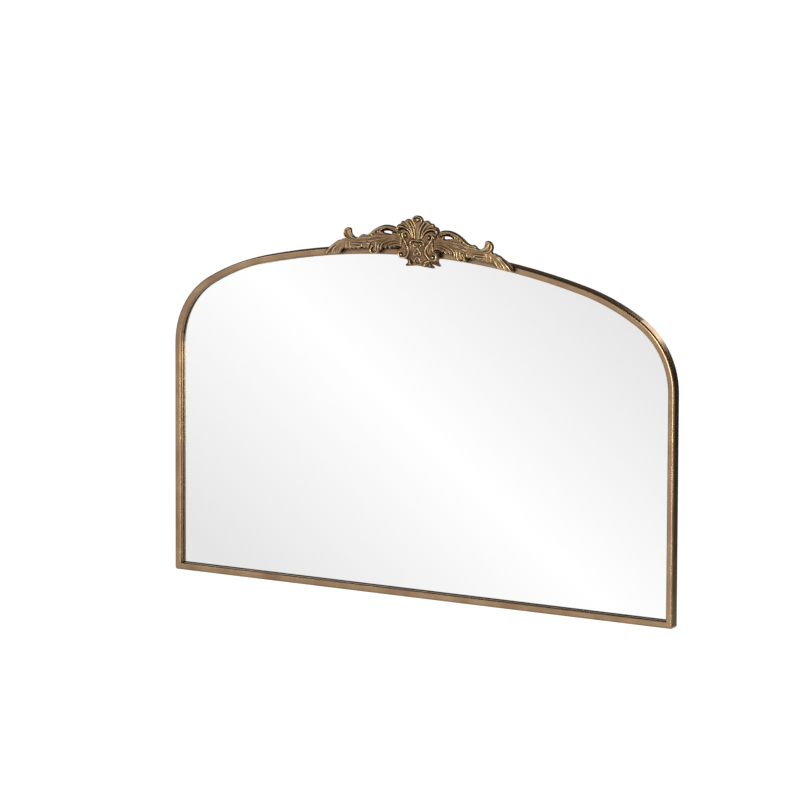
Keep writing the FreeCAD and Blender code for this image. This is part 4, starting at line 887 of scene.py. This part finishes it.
def makeSheet(name, size, stand, material):
    # a flat sheet, stood up by its matrix
    work = bmesh.new()
    bmesh.ops.create_grid(work, x_segments=1, y_segments=1, size=0.5,
                          matrix=Matrix.Diagonal((*size, 1.0, 1.0)))
    mesh = bpy.data.meshes.new(name)
    work.to_mesh(mesh)
    work.free()
    mesh.materials.append(material)
    sheet = bpy.data.objects.new(name, mesh)
    sheet.matrix_world = stand
    scene.collection.objects.link(sheet)
    return sheet


def hideSheet(sheet):
    # only the metal and the glass show it
    sheet.visible_camera = False
    sheet.visible_diffuse = False
    sheet.visible_shadow = False


floorSheet = {
    "height": -0.8,
    "size": (44.0, 44.0),
    "glow": 0.78,
    "sheen": 0.27,  # share of that glow that metal sees
    "colour": "#c4c4c4",
}


def makeFloor():
    # white paper sweep: matt, and lit so that it shows as the photograph's white
    material, tree = newMaterial("matPaperFloor")
    glow = addNode(tree, "Emission", {"Strength": floorSheet["glow"]})
    paper = addNode(tree, "BsdfDiffuse", {"Color": hexColour(floorSheet["colour"])})
    path = addNode(tree, "LightPath")
    sheen = addNode(tree, "Math", {"operation": "MULTIPLY", 1: floorSheet["sheen"]},
                    {0: path.outputs["Is Glossy Ray"]})
    seen = addNode(tree, "Math", {"operation": "MAXIMUM"},
                   {0: path.outputs["Is Camera Ray"], 1: sheen.outputs[0]})
    seenAll = addNode(tree, "Math", {"operation": "MAXIMUM"},
                      {0: seen.outputs[0], 1: path.outputs["Is Transmission Ray"]})
    lit = addNode(tree, "AddShader", links={0: glow.outputs[0], 1: paper.outputs[0]})
    whole = addNode(tree, "MixShader", links={0: seenAll.outputs[0], 1: paper.outputs[0],
                                              2: lit.outputs[0]})
    addNode(tree, "OutputMaterial", links={"Surface": whole.outputs[0]})
    makeSheet("studioFloor", floorSheet["size"],
              Matrix.Translation((0.0, 0.0, floorSheet["height"])), material)


card = {
    "middle": (-1.02, -1.72, -0.11),
    "towards": (0.491, 0.851, 0.188),  # the card faces the glass
    "size": (2.6, 2.6),
    "bandLine": (-0.695, 0.719),  # across the bright band, in the card's own two directions
    "bandMiddle": 0.025,
    "bandHalf": 0.42,
    "brightest": 1.02,
    "dimmest": 0.80,
}


def makeCard():
    # a paper card with a strip of light across it
    material, tree = newMaterial("litPaperCard")
    coord = addNode(tree, "TexCoord")
    along = addNode(tree, "VectorMath", {"operation": "DOT_PRODUCT", 1: (*card["bandLine"], 0.0)},
                    {0: coord.outputs["Object"]})
    off = addNode(tree, "Math", {"operation": "SUBTRACT", 1: card["bandMiddle"]},
                  {0: along.outputs["Value"]})
    away = addNode(tree, "Math", {"operation": "ABSOLUTE"}, {0: off.outputs[0]})
    level = addNode(tree, "MapRange", {"From Min": 0.0, "From Max": card["bandHalf"],
                                       "To Min": card["brightest"], "To Max": card["dimmest"]},
                    {"Value": away.outputs[0]})
    glow = addNode(tree, "Emission", links={"Strength": level.outputs["Result"]})
    addNode(tree, "OutputMaterial", links={"Surface": glow.outputs[0]})
    turn = Vector(card["towards"]).normalized().to_track_quat("Z", "Y").to_matrix().to_4x4()
    hideSheet(makeSheet("studioCard", card["size"], Matrix.Translation(card["middle"]) @ turn,
                        material))


flag = {"middle": (1.25, 1.7, 0.65), "size": (2.4, 2.0), "colour": "#060505"}


def makeFlag():
    # black felt behind on the right, for the dark side that the tube shows there
    material, tree = newMaterial("blackFeltFlag")
    felt = addNode(tree, "BsdfDiffuse", {"Color": hexColour(flag["colour"])})
    addNode(tree, "OutputMaterial", links={"Surface": felt.outputs[0]})
    quarter = math.radians(90)
    turn = Matrix.Rotation(quarter, 4, "Z") @ Matrix.Rotation(quarter, 4, "X")
    hideSheet(makeSheet("studioFlag", flag["size"], Matrix.Translation(flag["middle"]) @ turn,
                        material))


lamps = {
    "keyLamp": {"place": (0.85, -2.9, 0.68), "aim": (0.55, 0.0, 0.4), "size": (1.3, 1.9),
                "power": 34.0, "spread": 110.0, "colour": "#fafff0"},
    "fillLamp": {"place": (-2.4, -2.2, 1.4), "aim": (0.0, 0.0, 0.3), "size": (1.6, 1.6),
                 "power": 22.0, "spread": 180.0, "colour": "#fbfaff"},
    "backLamp": {"place": (1.2, 2.8, 1.8), "aim": (0.0, 0.0, 0.3), "size": (1.8, 1.4),
                 "power": 26.0, "spread": 180.0, "colour": "#ffffff"},
}


def placeLamps():
    for name, lamp in lamps.items():
        data = bpy.data.lights.new(name, "AREA")
        data.shape = "RECTANGLE"
        data.size, data.size_y = lamp["size"]
        data.energy = lamp["power"]
        data.spread = math.radians(lamp["spread"])
        data.color = hexColour(lamp["colour"])[:3]
        holder = bpy.data.objects.new(name, data)
        place = Vector(lamp["place"])
        turn = (Vector(lamp["aim"]) - place).to_track_quat("-Z", "Y").to_matrix().to_4x4()
        holder.matrix_world = Matrix.Translation(place) @ turn
        scene.collection.objects.link(holder)


room = {
    "ambient": 0.5,
    "white": "#ffffff",
    "behind": "#55514d",
    "above": "#3d3935",
    "front": "#dedad5",
    # how the dark turns to light, from behind to in front and from above to level
    "frontward": {"From Min": 0.25, "From Max": -0.45},
    "downward": {"From Min": 0.5, "From Max": -0.05},
}


def makeWorld():
    # white where the camera looks; metal sees a bright room in front, dim behind and above
    world = bpy.data.worlds.new("studioRoom")
    world.use_nodes = True
    tree = world.node_tree
    tree.nodes.clear()
    coord = addNode(tree, "TexCoord")
    way = addNode(tree, "SeparateXYZ", links={"Vector": coord.outputs["Generated"]})
    ahead = addNode(tree, "MapRange", {"interpolation_type": "SMOOTHSTEP", **room["frontward"]},
                    {"Value": way.outputs["Y"]})
    low = addNode(tree, "MapRange", {"interpolation_type": "SMOOTHSTEP", **room["downward"]},
                  {"Value": way.outputs["Z"]})
    upper = addNode(tree, "Mix", {"data_type": "RGBA", 6: hexColour(room["above"]),
                                  7: hexColour(room["front"])}, {0: low.outputs["Result"]})
    walls = addNode(tree, "Mix", {"data_type": "RGBA", 6: hexColour(room["behind"])},
                    {0: ahead.outputs["Result"], 7: upper.outputs[2]})
    path = addNode(tree, "LightPath")
    white = hexColour(room["white"])
    soft = addNode(tree, "Background", {"Color": white, "Strength": room["ambient"]})
    shown = addNode(tree, "Background", links={"Color": walls.outputs[2]})
    blank = addNode(tree, "Background", {"Color": white})
    first = addNode(tree, "MixShader", links={0: path.outputs["Is Glossy Ray"], 1: soft.outputs[0],
                                              2: shown.outputs[0]})
    through = addNode(tree, "Math", {"operation": "MAXIMUM"},
                      {0: path.outputs["Is Camera Ray"], 1: path.outputs["Is Transmission Ray"]})
    last = addNode(tree, "MixShader", links={0: through.outputs[0], 1: first.outputs[0],
                                             2: blank.outputs[0]})
    addNode(tree, "OutputWorld", links={"Surface": last.outputs[0]})
    scene.world = world


makeFloor()
makeCard()
makeFlag()
placeLamps()
makeWorld()
print("studio lit")
